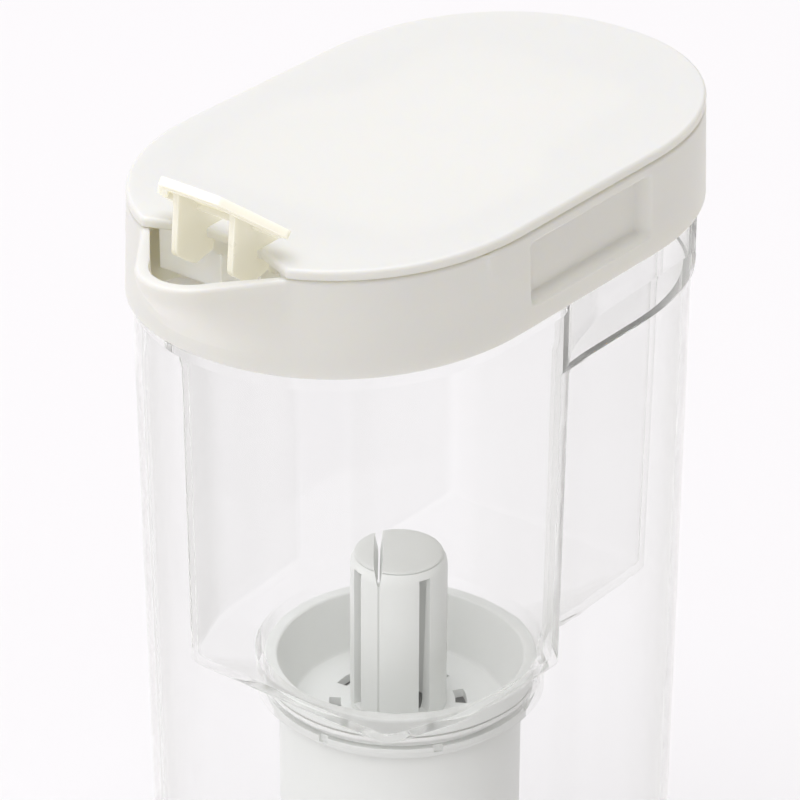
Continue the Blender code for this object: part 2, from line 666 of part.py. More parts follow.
def make_reservoir():
    """Clear hopper that hangs by its flange, with a round socket for the cartridge in its floor."""
    way = close_directions(reservoir_outline())

    def wall(grow):
        return radial(reservoir_outline(grow), way)

    def circle(radius):
        return np.column_stack([CARTRIDGE_X + radius * np.cos(way), radius * np.sin(way)])

    def clear_of_socket(ring):
        offsets = ring - np.array([CARTRIDGE_X, 0])
        reach = np.linalg.norm(offsets, axis=1)[:, None]
        least = CUP_RIM_RADIUS + LOOSE_GAP + SOCKET_WALL + GAP
        return np.array([CARTRIDGE_X, 0]) + offsets * np.maximum(least / reach, 1)

    bore = CUP_RIM_RADIUS + LOOSE_GAP
    rim = Z_FLANGE + RESERVOIR_FLANGE_THICK + RESERVOIR_RIM_RISE
    jog = Z_FLANGE - RESERVOIR_JOG_DROP
    low = Z_RES_UNDER
    under = -RESERVOIR_JOG - RESERVOIR_TAPER
    rings = [(wall(0), rim), (wall(0), Z_FLANGE + RESERVOIR_FLANGE_THICK),
             (wall(RESERVOIR_FLANGE), Z_FLANGE + RESERVOIR_FLANGE_THICK),
             (wall(RESERVOIR_FLANGE), Z_FLANGE), (wall(0), Z_FLANGE), (wall(0), jog),
             (wall(-RESERVOIR_JOG), jog - RESERVOIR_JOG_HEIGHT),
             (clear_of_socket(wall(under)), low + RESERVOIR_FLOOR_RADIUS),
             (clear_of_socket(wall(under - RESERVOIR_FLOOR_RADIUS * (1 - math.sin(math.pi / 4)))),
              low + RESERVOIR_FLOOR_RADIUS * (1 - math.sin(math.pi / 4))),
             (clear_of_socket(wall(under - RESERVOIR_FLOOR_RADIUS)), low),
             (circle(bore + SOCKET_WALL), low), (circle(bore + SOCKET_WALL), Z_SOCKET),
             (circle(LIP_INNER_RADIUS), Z_SOCKET), (circle(LIP_INNER_RADIUS), Z_LIP),
             (circle(bore), Z_LIP), (circle(bore), Z_RES_FLOOR),
             (wall(under - RESERVOIR_WALL), Z_RES_FLOOR),
             (wall(-RESERVOIR_JOG - RESERVOIR_WALL), jog - RESERVOIR_JOG_HEIGHT),
             (wall(-RESERVOIR_WALL), jog), (wall(-RESERVOIR_WALL), rim)]
    return piece("reservoir", loft(rings), "clear", (0, 0, Z_FLANGE))


def make_cup():
    """Light grey funnel of the cartridge, with water slots round the post in its floor."""
    shank = Z_SOCKET - GAP
    spigot = SHELL_RADIUS - SHELL_WALL - GAP
    hole = POST_RADIUS - POST_WALL + GAP
    profile = [(CUP_RIM_RADIUS, Z_CUP_SEAT), (CUP_RIM_RADIUS, Z_CUP_RIM),
               (CUP_RIM_RADIUS - CUP_RIM_WALL, Z_CUP_RIM), (CUP_FLOOR_RADIUS, Z_CUP_FLOOR),
               (hole, Z_CUP_FLOOR), (hole, Z_CUP_UNDER), (spigot, Z_CUP_UNDER),
               (spigot, Z_SHELL_TOP + GAP), (CUP_LOCK_RADIUS, Z_SHELL_TOP + GAP),
               (CUP_LOCK_RADIUS, shank), (CUP_SHANK_RADIUS, shank), (CUP_SHANK_RADIUS, Z_CUP_SEAT)]
    cup = piece("cartridge_cup", turned(profile), "grey", (CARTRIDGE_X, 0, Z_CUP_SEAT))

    def slot():
        half = math.pi / CUP_SLOT_COUNT * CUP_SLOT_SHARE
        turns = np.linspace(-half, half, FILLET_STEPS + 1)
        ring = [(CARTRIDGE_X + r * math.cos(t), r * math.sin(t))
                for r, order in ((CUP_SLOT_OUTER, turns), (CUP_SLOT_INNER, turns[::-1])) for t in order]
        return prism(np.array(ring), Z_CUP_UNDER - CUT_OVERRUN, Z_CUP_FLOOR + CUT_OVERRUN)

    cut(cup, cutter("cup_slots", ring_of(CUP_SLOT_COUNT, slot)))
    return cup


def groove_cutter():
    """Slots cut through the post's wall, from its foot to the cap."""
    reach = POST_RADIUS + CUT_OVERRUN

    def groove():
        low = (CARTRIDGE_X + POST_RADIUS - 2 * POST_WALL, -POST_GROOVE / 2, Z_CUP_FLOOR + POST_WALL)
        high = (CARTRIDGE_X + reach, POST_GROOVE / 2, Z_CUP_FLOOR + POST_HEIGHT - POST_WALL)
        return box(low, high)

    return turned_about_post(ring_of(POST_GROOVE_COUNT, groove), POST_GROOVE_TURN)


def turned_about_post(body, angle):
    centre = Matrix.Translation((CARTRIDGE_X, 0, 0))
    turn = centre @ Matrix.Rotation(angle, 4, "Z") @ centre.inverted()
    bmesh.ops.transform(body, matrix=turn, verts=body.verts)
    return body


def make_post():
    """Hollow slotted column that stands in the cup, and the domed cap with the slit across it."""
    foot = Z_CUP_FLOOR + GAP
    top = Z_CUP_FLOOR + POST_HEIGHT
    inner = POST_RADIUS - POST_WALL
    spigot_low = Z_CUP_FLOOR - POST_FOOT_DROP
    profile = [(POST_RADIUS, foot), (POST_RADIUS, top), (inner, top),
               (inner - POST_WALL, foot), (inner - POST_WALL, spigot_low), (inner, spigot_low),
               (inner, foot)]
    post = piece("cartridge_post", turned(profile), "grey", (CARTRIDGE_X, 0, foot))
    cut(post, cutter("post_grooves", groove_cutter()))
    seat = top + GAP
    crown = seat + POST_CAP_HEIGHT
    dome = [(0, crown)]
    for k in range(1, FILLET_STEPS + 2):
        turn = math.pi / 2 * k / (FILLET_STEPS + 1)
        dome.append((POST_RADIUS * math.sin(turn), crown - POST_CAP_DOME * (1 - math.cos(turn))))
    plug = inner - LOOSE_GAP
    cap_profile = dome + [(POST_RADIUS, seat), (plug, seat), (plug - POST_WALL / 2, seat - POST_CAP_SPIGOT),
                          (0, seat - POST_CAP_SPIGOT)]
    cap = piece("post_cap", turned(cap_profile), "grey", (CARTRIDGE_X, 0, seat))
    low = (CARTRIDGE_X - POST_RADIUS - CUT_OVERRUN, -POST_SLIT / 2, crown - POST_SLIT_DEPTH)
    high = (CARTRIDGE_X + POST_RADIUS + CUT_OVERRUN, POST_SLIT / 2, crown + CUT_OVERRUN)
    slit = cutter("post_slit", turned_about_post(box(low, high), POST_SLIT_TURN))
    cap_low = (low[0], low[1], seat)
    cap_slit = cutter("cap_slit", turned_about_post(box(cap_low, high), POST_SLIT_TURN))
    cut(post, slit)
    cut(cap, cap_slit)


def make_cartridge_seal():
    bore = CUP_RIM_RADIUS
    low = Z_LIP + GAP
    high = Z_CUP_SEAT - GAP
    profile = [(LIP_INNER_RADIUS, low), (bore, low), (bore, high), (LIP_INNER_RADIUS, high)]
    piece("cartridge_seal", turned(profile), "silicone", (CARTRIDGE_X, 0, low))


def make_lock_ring():
    """Ring under the socket that carries the small index notches."""
    inner = CUP_LOCK_RADIUS + GAP
    low = Z_LOCK + GAP
    high = low + LOCK_RING_HEIGHT - 2 * GAP
    bevel = LOCK_NOTCH_DEPTH
    profile = [(inner, low), (LOCK_RING_RADIUS - bevel, low), (LOCK_RING_RADIUS, low + 2 * bevel),
               (LOCK_RING_RADIUS, high), (inner, high)]
    ring = piece("lock_ring", turned(profile), "grey", (CARTRIDGE_X, 0, low))

    def notch():
        middle = low + LOCK_NOTCH_HEIGHT
        return box((CARTRIDGE_X + LOCK_RING_RADIUS - LOCK_NOTCH_DEPTH, -LOCK_NOTCH_WIDTH / 2, middle),
                   (CARTRIDGE_X + LOCK_RING_RADIUS + CUT_OVERRUN, LOCK_NOTCH_WIDTH / 2,
                    middle + LOCK_NOTCH_HEIGHT))

    cut(ring, cutter("lock_notches", ring_of(LOCK_NOTCH_COUNT, notch)))


def make_cartridge_core():
    """Shell, mesh, felt, carbon, separator, fibres, potting and outlet cap, stacked inside the shell."""
    inner = SHELL_RADIUS - SHELL_WALL
    cap_top = Z_CARTRIDGE + OUTLET_CAP_HEIGHT
    shell_low = cap_top + GAP
    profile = [(SHELL_RADIUS, shell_low), (SHELL_RADIUS, Z_SHELL_TOP), (inner, Z_SHELL_TOP),
               (inner, shell_low)]
    piece("cartridge_body", turned(profile), "grey", (CARTRIDGE_X, 0, shell_low))
    fill = inner - GAP
    level = Z_CUP_UNDER - GAP
    bottom = cap_top + POTTING_THICK + 2 * GAP
    piece("inlet_mesh", disc(fill, level - MESH_THICK, level), "steel", (CARTRIDGE_X, 0, level))
    level -= MESH_THICK + GAP
    piece("felt_pad", disc(fill, level - PAD_THICK, level), "felt", (CARTRIDGE_X, 0, level))
    level -= PAD_THICK + GAP
    carbon = (level - bottom) * CARBON_SHARE
    piece("carbon_bed", disc(fill, level - carbon, level), "carbon", (CARTRIDGE_X, 0, level))
    level -= carbon + GAP
    piece("separator_disc", disc(fill, level - SEPARATOR_THICK, level), "white", (CARTRIDGE_X, 0, level))
    level -= SEPARATOR_THICK + GAP
    bundle = [(0, bottom), (fill - FIBRE_MARGIN, bottom), (fill - FIBRE_MARGIN, level - FIBRE_MARGIN),
              (fill - 2 * FIBRE_MARGIN, level), (0, level)]
    piece("fibre_bundle", turned(bundle), "fibre", (CARTRIDGE_X, 0, level))
    pot_top = bottom - GAP
    piece("potting_disc", disc(fill, pot_top - POTTING_THICK, pot_top), "resin", (CARTRIDGE_X, 0, pot_top))
    cap = [(0, Z_CARTRIDGE + OUTLET_CAP_WALL / 2), (OUTLET_SLOT_INNER, Z_CARTRIDGE + OUTLET_CAP_WALL / 2),
           (OUTLET_SLOT_INNER + OUTLET_CAP_WALL, Z_CARTRIDGE),
           (SHELL_RADIUS - OUTLET_CAP_WALL, Z_CARTRIDGE), (SHELL_RADIUS, Z_CARTRIDGE + OUTLET_CAP_WALL),
           (SHELL_RADIUS, cap_top), (inner, cap_top), (inner, Z_CARTRIDGE + OUTLET_CAP_WALL),
           (0, Z_CARTRIDGE + OUTLET_CAP_WALL + OUTLET_CAP_WALL / 2)]
    outlet = piece("outlet_cap", turned(cap), "grey", (CARTRIDGE_X, 0, Z_CARTRIDGE))

    def slot():
        return box((CARTRIDGE_X + OUTLET_SLOT_INNER, -OUTLET_SLOT_WIDTH / 2, Z_CARTRIDGE - CUT_OVERRUN),
                   (CARTRIDGE_X + OUTLET_SLOT_OUTER, OUTLET_SLOT_WIDTH / 2, cap_top))

    cut(outlet, cutter("outlet_slots", ring_of(OUTLET_SLOT_COUNT, slot)))


def make_lid_plate():
    """Flat white plate with the notch that the spout cover fills, and two slots for its arms."""
    beyond = NOTCH_CORNER_HALF + 2 * LID_EDGE_RADIUS
    rim = OVAL[(OVAL[:, 1] >= 0) & ~((OVAL[:, 0] < 0) & (OVAL[:, 1] < beyond))]
    lead = [tuple(p) for p in rim]
    slot_out = ARM_HALF + ARM_THICK / 2 + ARM_GAP
    slot_in = ARM_HALF - ARM_THICK / 2 - ARM_GAP
    nose = rounded_path([lead[-1] + (0,), (NOTCH_CORNER_X, NOTCH_CORNER_HALF, TAB_CORNER / 2),
                         (NOTCH_INNER_X, NOTCH_INNER_HALF, TAB_CORNER), (NOTCH_INNER_X, slot_out, 0),
                         (SLOT_REAR_X, slot_out, 0), (SLOT_REAR_X, slot_in, 0),
                         (TAB_FRONT_X, slot_in, TAB_CORNER), (TAB_FRONT_X, 0, 0)])
    half = np.vstack([np.array(lead), nose[1:]])
    plate = piece("lid_plate", prism(mirrored(half), Z_LID_UNDER, Z_LID), "white", (0, 0, Z_LID_UNDER))
    soften(plate, LID_EDGE_RADIUS)


def make_lid_frame():
    """Under-frame of the lid: skirt that plugs the reservoir, and the bosses that hold the cover's pin."""
    top = Z_LID_UNDER - GAP
    flange_low = top - LID_FLANGE_THICK
    outer = reservoir_outline(-RESERVOIR_WALL - LID_SEAL_WIDTH - LOOSE_GAP)
    inner = reservoir_outline(-RESERVOIR_WALL - LID_SEAL_WIDTH - LOOSE_GAP - LID_SKIRT_WALL)
    flange = reservoir_outline(LID_FLANGE_STEP)
    low = top - LID_SKIRT_DEPTH
    frame = piece("lid_frame", loft([(flange, top), (flange, flange_low), (outer, flange_low), (outer, low),
                                     (inner, low), (inner, top)]), "white", (0, 0, top))
    slot_out = ARM_HALF + ARM_THICK / 2 + ARM_GAP
    slot_in = ARM_HALF - ARM_THICK / 2 - ARM_GAP
    rear = RESERVOIR_FRONT_X + RESERVOIR_WALL + LID_SEAL_WIDTH + LID_SKIRT_WALL
    reach = slot_out + BOSS_WIDTH
    boss_low = top - BOSS_HEIGHT
    bosses = cutter("hinge_bosses", box((BOSS_FRONT_X, -reach, boss_low), (rear, reach, top)))
    cut(frame, bosses, "UNION")
    for side in (-1, 1):
        near, far = sorted((side * slot_in, side * slot_out))
        gap = cutter("arm_gap_" + ("near" if side < 0 else "far"),
                     box((BOSS_FRONT_X - CUT_OVERRUN, near, boss_low - CUT_OVERRUN),
                         (SLOT_REAR_X, far, top + CUT_OVERRUN)))
        cut(frame, gap)
    cut(frame, cutter("pin_bore", rod(PIN_RADIUS + PIN_BORE_CLEARANCE, reach - BOSS_END_WALL)))


def rod(radius, half_length):
    """A cylinder along the cover's hinge axis."""
    outline = np.array([(radius * math.cos(math.tau * k / SMALL_STEPS),
                         radius * math.sin(math.tau * k / SMALL_STEPS)) for k in range(SMALL_STEPS)])
    body = prism(outline, -half_length, half_length)
    place = Matrix.Translation((HINGE_X, 0, Z_HINGE)) @ Matrix.Rotation(math.pi / 2, 4, "X")
    bmesh.ops.transform(body, matrix=place, verts=body.verts)
    return body


def make_lid_seal():
    top = Z_LID_UNDER - GAP - LID_SEAL_DROP
    outer = reservoir_outline(-RESERVOIR_WALL - LOOSE_GAP)
    inner = reservoir_outline(-RESERVOIR_WALL - LID_SEAL_WIDTH)
    low = top - LID_SEAL_HEIGHT
    piece("lid_seal", loft([(outer, top), (outer, low), (inner, low), (inner, top)]), "silicone",
          (0, 0, top))


def make_spout_cover():
    """Milky cover with two arms, modelled closed and then turned open about its pin."""
    under = Z_LID - COVER_THICK
    corners = [(COVER_BASE_X, 0, 0), (COVER_BASE_X, COVER_CHAMFER_HALF, COVER_CORNER),
               (COVER_BASE_X - COVER_CHAMFER, COVER_BASE_HALF, COVER_CORNER),
               (COVER_TIP_X, COVER_TIP_HALF, COVER_CORNER), (COVER_TIP_X, 0, 0)]
    outline = mirrored(rounded_path(corners))
    inset = mirrored(rounded_path(shrunk(corners, COVER_RIM_INSET)))
    hollow = mirrored(rounded_path(shrunk(corners, COVER_RIM_INSET + COVER_RIM_WALL)))
    low = under - COVER_RIM_DROP
    lift = Z_LID - COVER_THICK * COVER_REAR_SHARE
    plate = loft([(outline, Z_LID), (outline, under), (inset, under), (inset, low), (hollow, low),
                  (hollow, lift)], capped=True)
    hinge = Vector((HINGE_X, 0, Z_HINGE))
    cover = piece("spout_cover", plate, "milky", hinge)
    for side in (-1, 1):
        arm = cutter("arm_" + ("near" if side < 0 else "far"), arm_solid(side * ARM_HALF), hinge)
        arm.parent = cover
        arm.location = (0, 0, 0)
        cut(cover, arm, "UNION")
    bore = cutter("eye_bore", rod(PIN_RADIUS + PIN_BORE_CLEARANCE, 2 * ARM_HALF), hinge)
    bore.parent = cover
    bore.location = (0, 0, 0)
    cut(cover, bore)
    cover.rotation_euler = (0, COVER_OPEN, 0)


def arm_solid(y):
    """One arm: a fin under the cover that narrows to an eye round the pin."""
    top = HINGE_DROP - COVER_THICK * COVER_REAR_SHARE / 2
    eye = [(ARM_EYE_RADIUS * math.cos(turn), ARM_EYE_RADIUS * math.sin(turn))
           for turn in np.linspace(ARM_EYE_FOOT, ARM_EYE_CROWN, SMALL_STEPS // 2)]
    side = rounded_path([(ARM_FRONT_X, top, 0), (ARM_TOE_X, -ARM_TOE_DROP, ARM_ROUND),
                         (ARM_HEEL_X, -ARM_HEEL_DROP, ARM_ROUND), eye[0] + (0,)])
    last = [(COVER_BASE_X - HINGE_X - COVER_RIM_INSET, top)]
    outline = np.vstack([side, eye[1:], last])
    body = prism(outline, -ARM_THICK / 2, ARM_THICK / 2)
    place = Matrix.Translation((HINGE_X, y, Z_HINGE)) @ Matrix.Rotation(math.pi / 2, 4, "X")
    bmesh.ops.transform(body, matrix=place, verts=body.verts)
    return body


def make_pin():
    slot_out = ARM_HALF + ARM_THICK / 2 + ARM_GAP
    pin = piece("cover_pin", rod(PIN_RADIUS, slot_out + BOSS_WIDTH / 2), "steel", (HINGE_X, 0, Z_HINGE))
    return pin


def main():
    clear_scene()
    make_jug()
    make_collar()
    make_collar_seal()
    make_reservoir()
    make_cup()
    make_post()
    make_cartridge_seal()
    make_lock_ring()
    make_cartridge_core()
    make_lid_plate()
    make_lid_frame()
    make_lid_seal()
    make_spout_cover()
    make_pin()


main()
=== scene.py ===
"""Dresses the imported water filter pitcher: smooth moulded shells, plastics, floor, light and camera.

Plan positions are measured from the middle of the straight sides, with the spout along -X, and
PLAN_X moves them into the frame. Heights are read from the frame's own nodes. All in metres.
"""
import json
import math

import bmesh
import bpy
import numpy as np
from mathutils import Matrix, Vector

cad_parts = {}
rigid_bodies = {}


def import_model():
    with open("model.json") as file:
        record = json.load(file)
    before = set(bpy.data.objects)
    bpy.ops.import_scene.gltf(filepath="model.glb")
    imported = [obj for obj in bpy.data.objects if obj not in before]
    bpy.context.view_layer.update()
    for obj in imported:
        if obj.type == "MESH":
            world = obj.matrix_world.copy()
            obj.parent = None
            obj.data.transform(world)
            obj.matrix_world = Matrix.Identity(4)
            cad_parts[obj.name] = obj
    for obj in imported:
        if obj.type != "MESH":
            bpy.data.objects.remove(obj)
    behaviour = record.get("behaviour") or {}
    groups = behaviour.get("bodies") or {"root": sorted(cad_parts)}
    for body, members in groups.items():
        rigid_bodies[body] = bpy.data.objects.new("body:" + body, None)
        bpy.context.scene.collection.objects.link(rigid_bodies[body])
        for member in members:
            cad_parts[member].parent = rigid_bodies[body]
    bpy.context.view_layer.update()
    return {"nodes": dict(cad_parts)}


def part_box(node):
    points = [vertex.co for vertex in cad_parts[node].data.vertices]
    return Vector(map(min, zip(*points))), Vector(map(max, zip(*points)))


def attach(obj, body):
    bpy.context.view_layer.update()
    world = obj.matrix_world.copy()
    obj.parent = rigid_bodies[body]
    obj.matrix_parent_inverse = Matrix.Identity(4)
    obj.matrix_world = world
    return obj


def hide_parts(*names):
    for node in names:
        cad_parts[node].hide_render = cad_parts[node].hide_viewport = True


bl_info = {
    "name": "Water Filter Pitcher",
    "version": (1, 0, 0),
    "blender": (4, 5, 0),
    "location": "3D View > Sidebar > Pitcher",
    "description": "Builds the visible shells and finishes of a slim water filter pitcher",
    "category": "Object",
}

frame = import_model()
NODES = frame["nodes"]


def low_z(node):
    """The lowest height of a node of the frame."""
    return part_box(node)[0].z


def high_z(node):
    """The greatest height of a node of the frame."""
    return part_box(node)[1].z


CARTRIDGE_X = -0.0076
PLAN_X = (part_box("cartridge_body")[0].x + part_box("cartridge_body")[1].x) / 2 - CARTRIDGE_X

# Heights read from the frame
Z_FOOT = low_z("jug")
Z_NECK = high_z("jug")
Z_COLLAR = low_z("collar")
Z_COLLAR_TOP = high_z("collar")
Z_LID_UNDER = low_z("lid_plate")
Z_LID = high_z("lid_plate")
Z_SOCKET = low_z("reservoir")
Z_RES_RIM = high_z("reservoir")
Z_CUP_RIM = high_z("cartridge_cup")
Z_SHELL_LOW = low_z("cartridge_body")
Z_SHELL_TOP = high_z("cartridge_body")
Z_RING_LOW = low_z("lock_ring")
Z_RING_TOP = high_z("lock_ring")
Z_POST_TOP = high_z("cartridge_post")
Z_POST_FOOT = low_z("cartridge_post")
Z_CAP_TOP = high_z("post_cap")
Z_PIN = (low_z("cover_pin") + high_z("cover_pin")) / 2

# Fits, fine edges and small steps of the work
FIT = 0.0003
LOOSE_FIT = 0.0005
OVERRUN = 0.0020
MERGE = 0.000002
NEAR_ZERO = 1e-9
EIGHTH_TURN_SINE = math.sqrt(0.5)
CREASE = math.radians(30)
BEVEL_ANGLE = math.radians(28)
BEVEL_STEPS = 3
BOWL_EDGE_PARTS = 5
CLEAR_PARTS = 3
EYE_START = -math.pi / 6

# Smoothness of the visible shells
END_STEPS = 30
SIDE_STEPS = 22
RAMP_STEPS = 7
FRONT_STEPS = 16
BEAK_STEPS = 30
CORNER_STEPS = 10
ROUND_STEPS = 144
DETAIL_STEPS = 32


def length(label, note, default):
    return bpy.props.FloatProperty(name=label, description=note, default=default, unit="LENGTH",
                                   precision=4)


def turn(label, note, degrees):
    return bpy.props.FloatProperty(name=label, description=note, default=math.radians(degrees),
                                   subtype="ANGLE", unit="ROTATION")


def share(label, note, default):
    return bpy.props.FloatProperty(name=label, description=note, default=default, subtype="FACTOR")


def count(label, note, default):
    return bpy.props.IntProperty(name=label, description=note, default=default, min=1)


def tint(label, note, default):
    return bpy.props.FloatVectorProperty(name=label, description=note, default=default, size=3,
                                         subtype="COLOR", min=0, max=1)


class OutlineSizes(bpy.types.PropertyGroup):
    half_width: length("Half width", "Half of the pitcher's width", 0.0500)
    half_straight: length("Half straight", "Half of the straight run of each side", 0.02618)
    front_axis: length("Front end", "Reach of the rounded front end", 0.05511)
    rear_axis: length("Rear end", "Reach of the rounded rear end", 0.05823)
    roundness: bpy.props.FloatProperty(name="Roundness", description="Exponent of the rounded ends",
                                       default=2.117)
    beak_reach: length("Beak reach", "How far the spout's tip stands from the middle", 0.0972)
    beak_radius: length("Beak radius", "Radius of the spout's tip in plan", 0.0128)
    beak_angle: turn("Beak angle", "Angle of the spout's flanks", 36.5)
    beak_blend: length("Beak blend", "Softness where the spout leaves the collar", 0.0007)
    beak_root: length("Beak root", "Half-width of the stretch that the spout takes up", 0.0250)


class JugSizes(bpy.types.PropertyGroup):
    wall: length("Wall", "Thickness of the clear wall", 0.0023)
    band_inset: length("Band inset", "Step from the collar in to the band below it", 0.0009)
    body_inset: length("Body inset", "Step from the collar in to the sides", 0.0018)
    foot_inset: length("Foot inset", "Step from the collar in to the foot", 0.0022)
    foot_radius: length("Foot radius", "Rounding round the foot", 0.0050)
    foot_rim: length("Foot rim", "Width of the flat rim that the jug stands on", 0.0050)
    foot_recess: length("Foot recess", "Depth of the recess inside the rim", 0.0010)
    floor: length("Floor", "Thickness of the floor", 0.0030)
    front_draft: length("Front draft", "How far the nose leans back at the foot", 0.0046)
    band_fade: length("Band fade", "Run over which the band's step fades out", 0.0120)
    neck_inset: length("Neck inset", "Step from the collar in to the neck", 0.0030)
    neck_height: length("Neck height", "Height of the neck inside the collar", 0.0018)
    pocket_height: length("Pocket height", "Height of the grip pockets", 0.0180)
    pocket_lip: length("Pocket lip", "Upright edge below a pocket's floor", 0.0006)
    pocket_tip: length("Pocket tip", "Where a pocket starts along the side", -0.0070)
    pocket_curve: length("Pocket curve", "Where a pocket's wall turns first", 0.0030)
    pocket_curve_half: length("Curve half", "Half-width between the walls there", 0.0442)
    pocket_turn: length("Pocket turn", "Where a pocket's wall turns again", 0.0210)
    pocket_turn_half: length("Turn half", "Half-width between the walls there", 0.0391)
    pocket_rear: length("Pocket rear", "Where a pocket ends", 0.0700)
    pocket_rear_half: length("Rear half", "Half-width between the walls there", 0.0370)
    pocket_radius: length("Pocket radius", "Radius of a pocket's curves", 0.0200)
    edge: length("Edge", "Rounding of the moulded edges", 0.0005)


class CollarSizes(bpy.types.PropertyGroup):
    wall: length("Wall", "Thickness of the white wall", 0.0022)
    flare: length("Flare", "How far the lower edge stands out", 0.0009)
    rim: length("Rim", "Rounding of the top rim outside", 0.0011)
    bead: length("Bead", "Rounding of the top rim inside", 0.0004)
    lip: length("Lip", "Extra thickness of the rim round the spout", 0.0011)
    lip_height: length("Lip height", "Height over which the lip thickens", 0.0050)
    lip_start: length("Lip start", "Where the lip starts to thicken", -0.0775)
    lip_full: length("Lip full", "Where the lip has its full thickness", -0.0880)
    guard: length("Guard", "Front of the low wall behind the pouring opening", -0.0608)
    guard_thick: length("Guard thickness", "Thickness of that wall", 0.0013)
    guard_half: length("Guard half", "Half of its width", 0.0305)
    guard_top: length("Guard top", "From the collar's rim down to its top", 0.0053)
    rib_front: length("Rib front", "Front edge of its two ribs", -0.0677)
    rib_place: length("Rib place", "Distance of each rib from the middle", 0.0064)
    rib_thick: length("Rib thickness", "Thickness of a rib", 0.0010)
    hem: length("Hem", "Rounding of the lower edge", 0.0004)
    ledge: length("Ledge", "Thickness of the ledge that carries the reservoir", 0.0020)
    skirt: length("Skirt", "Height of the collar below the ledge", 0.0034)
    recess_front: length("Recess front", "Where a finger recess starts", -0.0235)
    recess_rear: length("Recess rear", "Where a finger recess ends", 0.0260)
    recess_depth: length("Recess depth", "Depth of a finger recess", 0.0032)
    recess_wall: length("Recess wall", "Thickness of the wall behind a recess", 0.0015)
    recess_ramp: length("Recess ramp", "Run of a recess's sloping ends", 0.0042)
    recess_drop: length("Recess drop", "From the rim down to a recess", 0.0024)
    recess_height: length("Recess height", "Height of a recess", 0.0169)
    recess_corner: length("Recess corner", "Run of a recess's sloping top and bottom", 0.0020)
    pour_front: length("Opening front", "Front edge of the pouring opening", -0.0752)
    pour_rear: length("Opening rear", "Rear edge of the pouring opening", -0.0610)
    pour_front_half: length("Front half", "Half-width of its front edge", 0.0150)
    pour_rear_half: length("Rear half", "Half-width of its rear edge", 0.0310)
    pour_radius: length("Opening radius", "Radius of its corners", 0.0040)


class ReservoirSizes(bpy.types.PropertyGroup):
    front: length("Front", "Place of the flat front", -0.0545)
    front_half: length("Front half", "Half-width of the front", 0.0327)
    shoulder: length("Shoulder", "Place where the sides turn in to the front", -0.0330)
    shoulder_half: length("Shoulder half", "Half-width there", 0.0412)
    wide: length("Widest", "Place of the greatest width", 0.0035)
    wide_half: length("Widest half", "Half of the greatest width", 0.0433)
    step: length("Step", "Place where the sides step in", 0.0120)
    lobe_half: length("Lobe half", "Half-width of the rear lobe", 0.0332)
    rear: length("Rear", "Place of the flat rear", 0.0590)
    corner: length("Corner", "Radius of the corners", 0.0035)
    shoulder_radius: length("Shoulder radius", "Radius of the long side turn", 0.0300)
    rear_radius: length("Rear radius", "Radius of the rear corners", 0.0050)
    front_radius: length("Front radius", "Radius of the front corners", 0.0070)
    wall: length("Wall", "Thickness of the clear wall", 0.0017)
    taper: length("Taper", "How much narrower the foot is", 0.0008)
    jog: length("Jog", "Small step below the rim", 0.0006)
    jog_drop: length("Jog drop", "From the flange down to the step", 0.0285)
    jog_height: length("Jog height", "Height of the step", 0.0025)
    floor_radius: length("Floor radius", "Rounding round the floor", 0.0022)
    flange: length("Flange", "Width of the flange that rests on the collar", 0.0014)
    flange_thick: length("Flange thickness", "Thickness of the flange", 0.0015)
    rim_rise: length("Rim rise", "Height of the rim above the flange", 0.0115)
    funnel: length("Funnel", "Fall of the floor from the walls to the socket", 0.0042)
    socket_wall: length("Socket wall", "Wall of the round socket", 0.0018)
    socket_depth: length("Socket depth", "From the floor down to the seat", 0.0119)
    lip: length("Lip", "Thickness of the socket's inward lip", 0.0017)


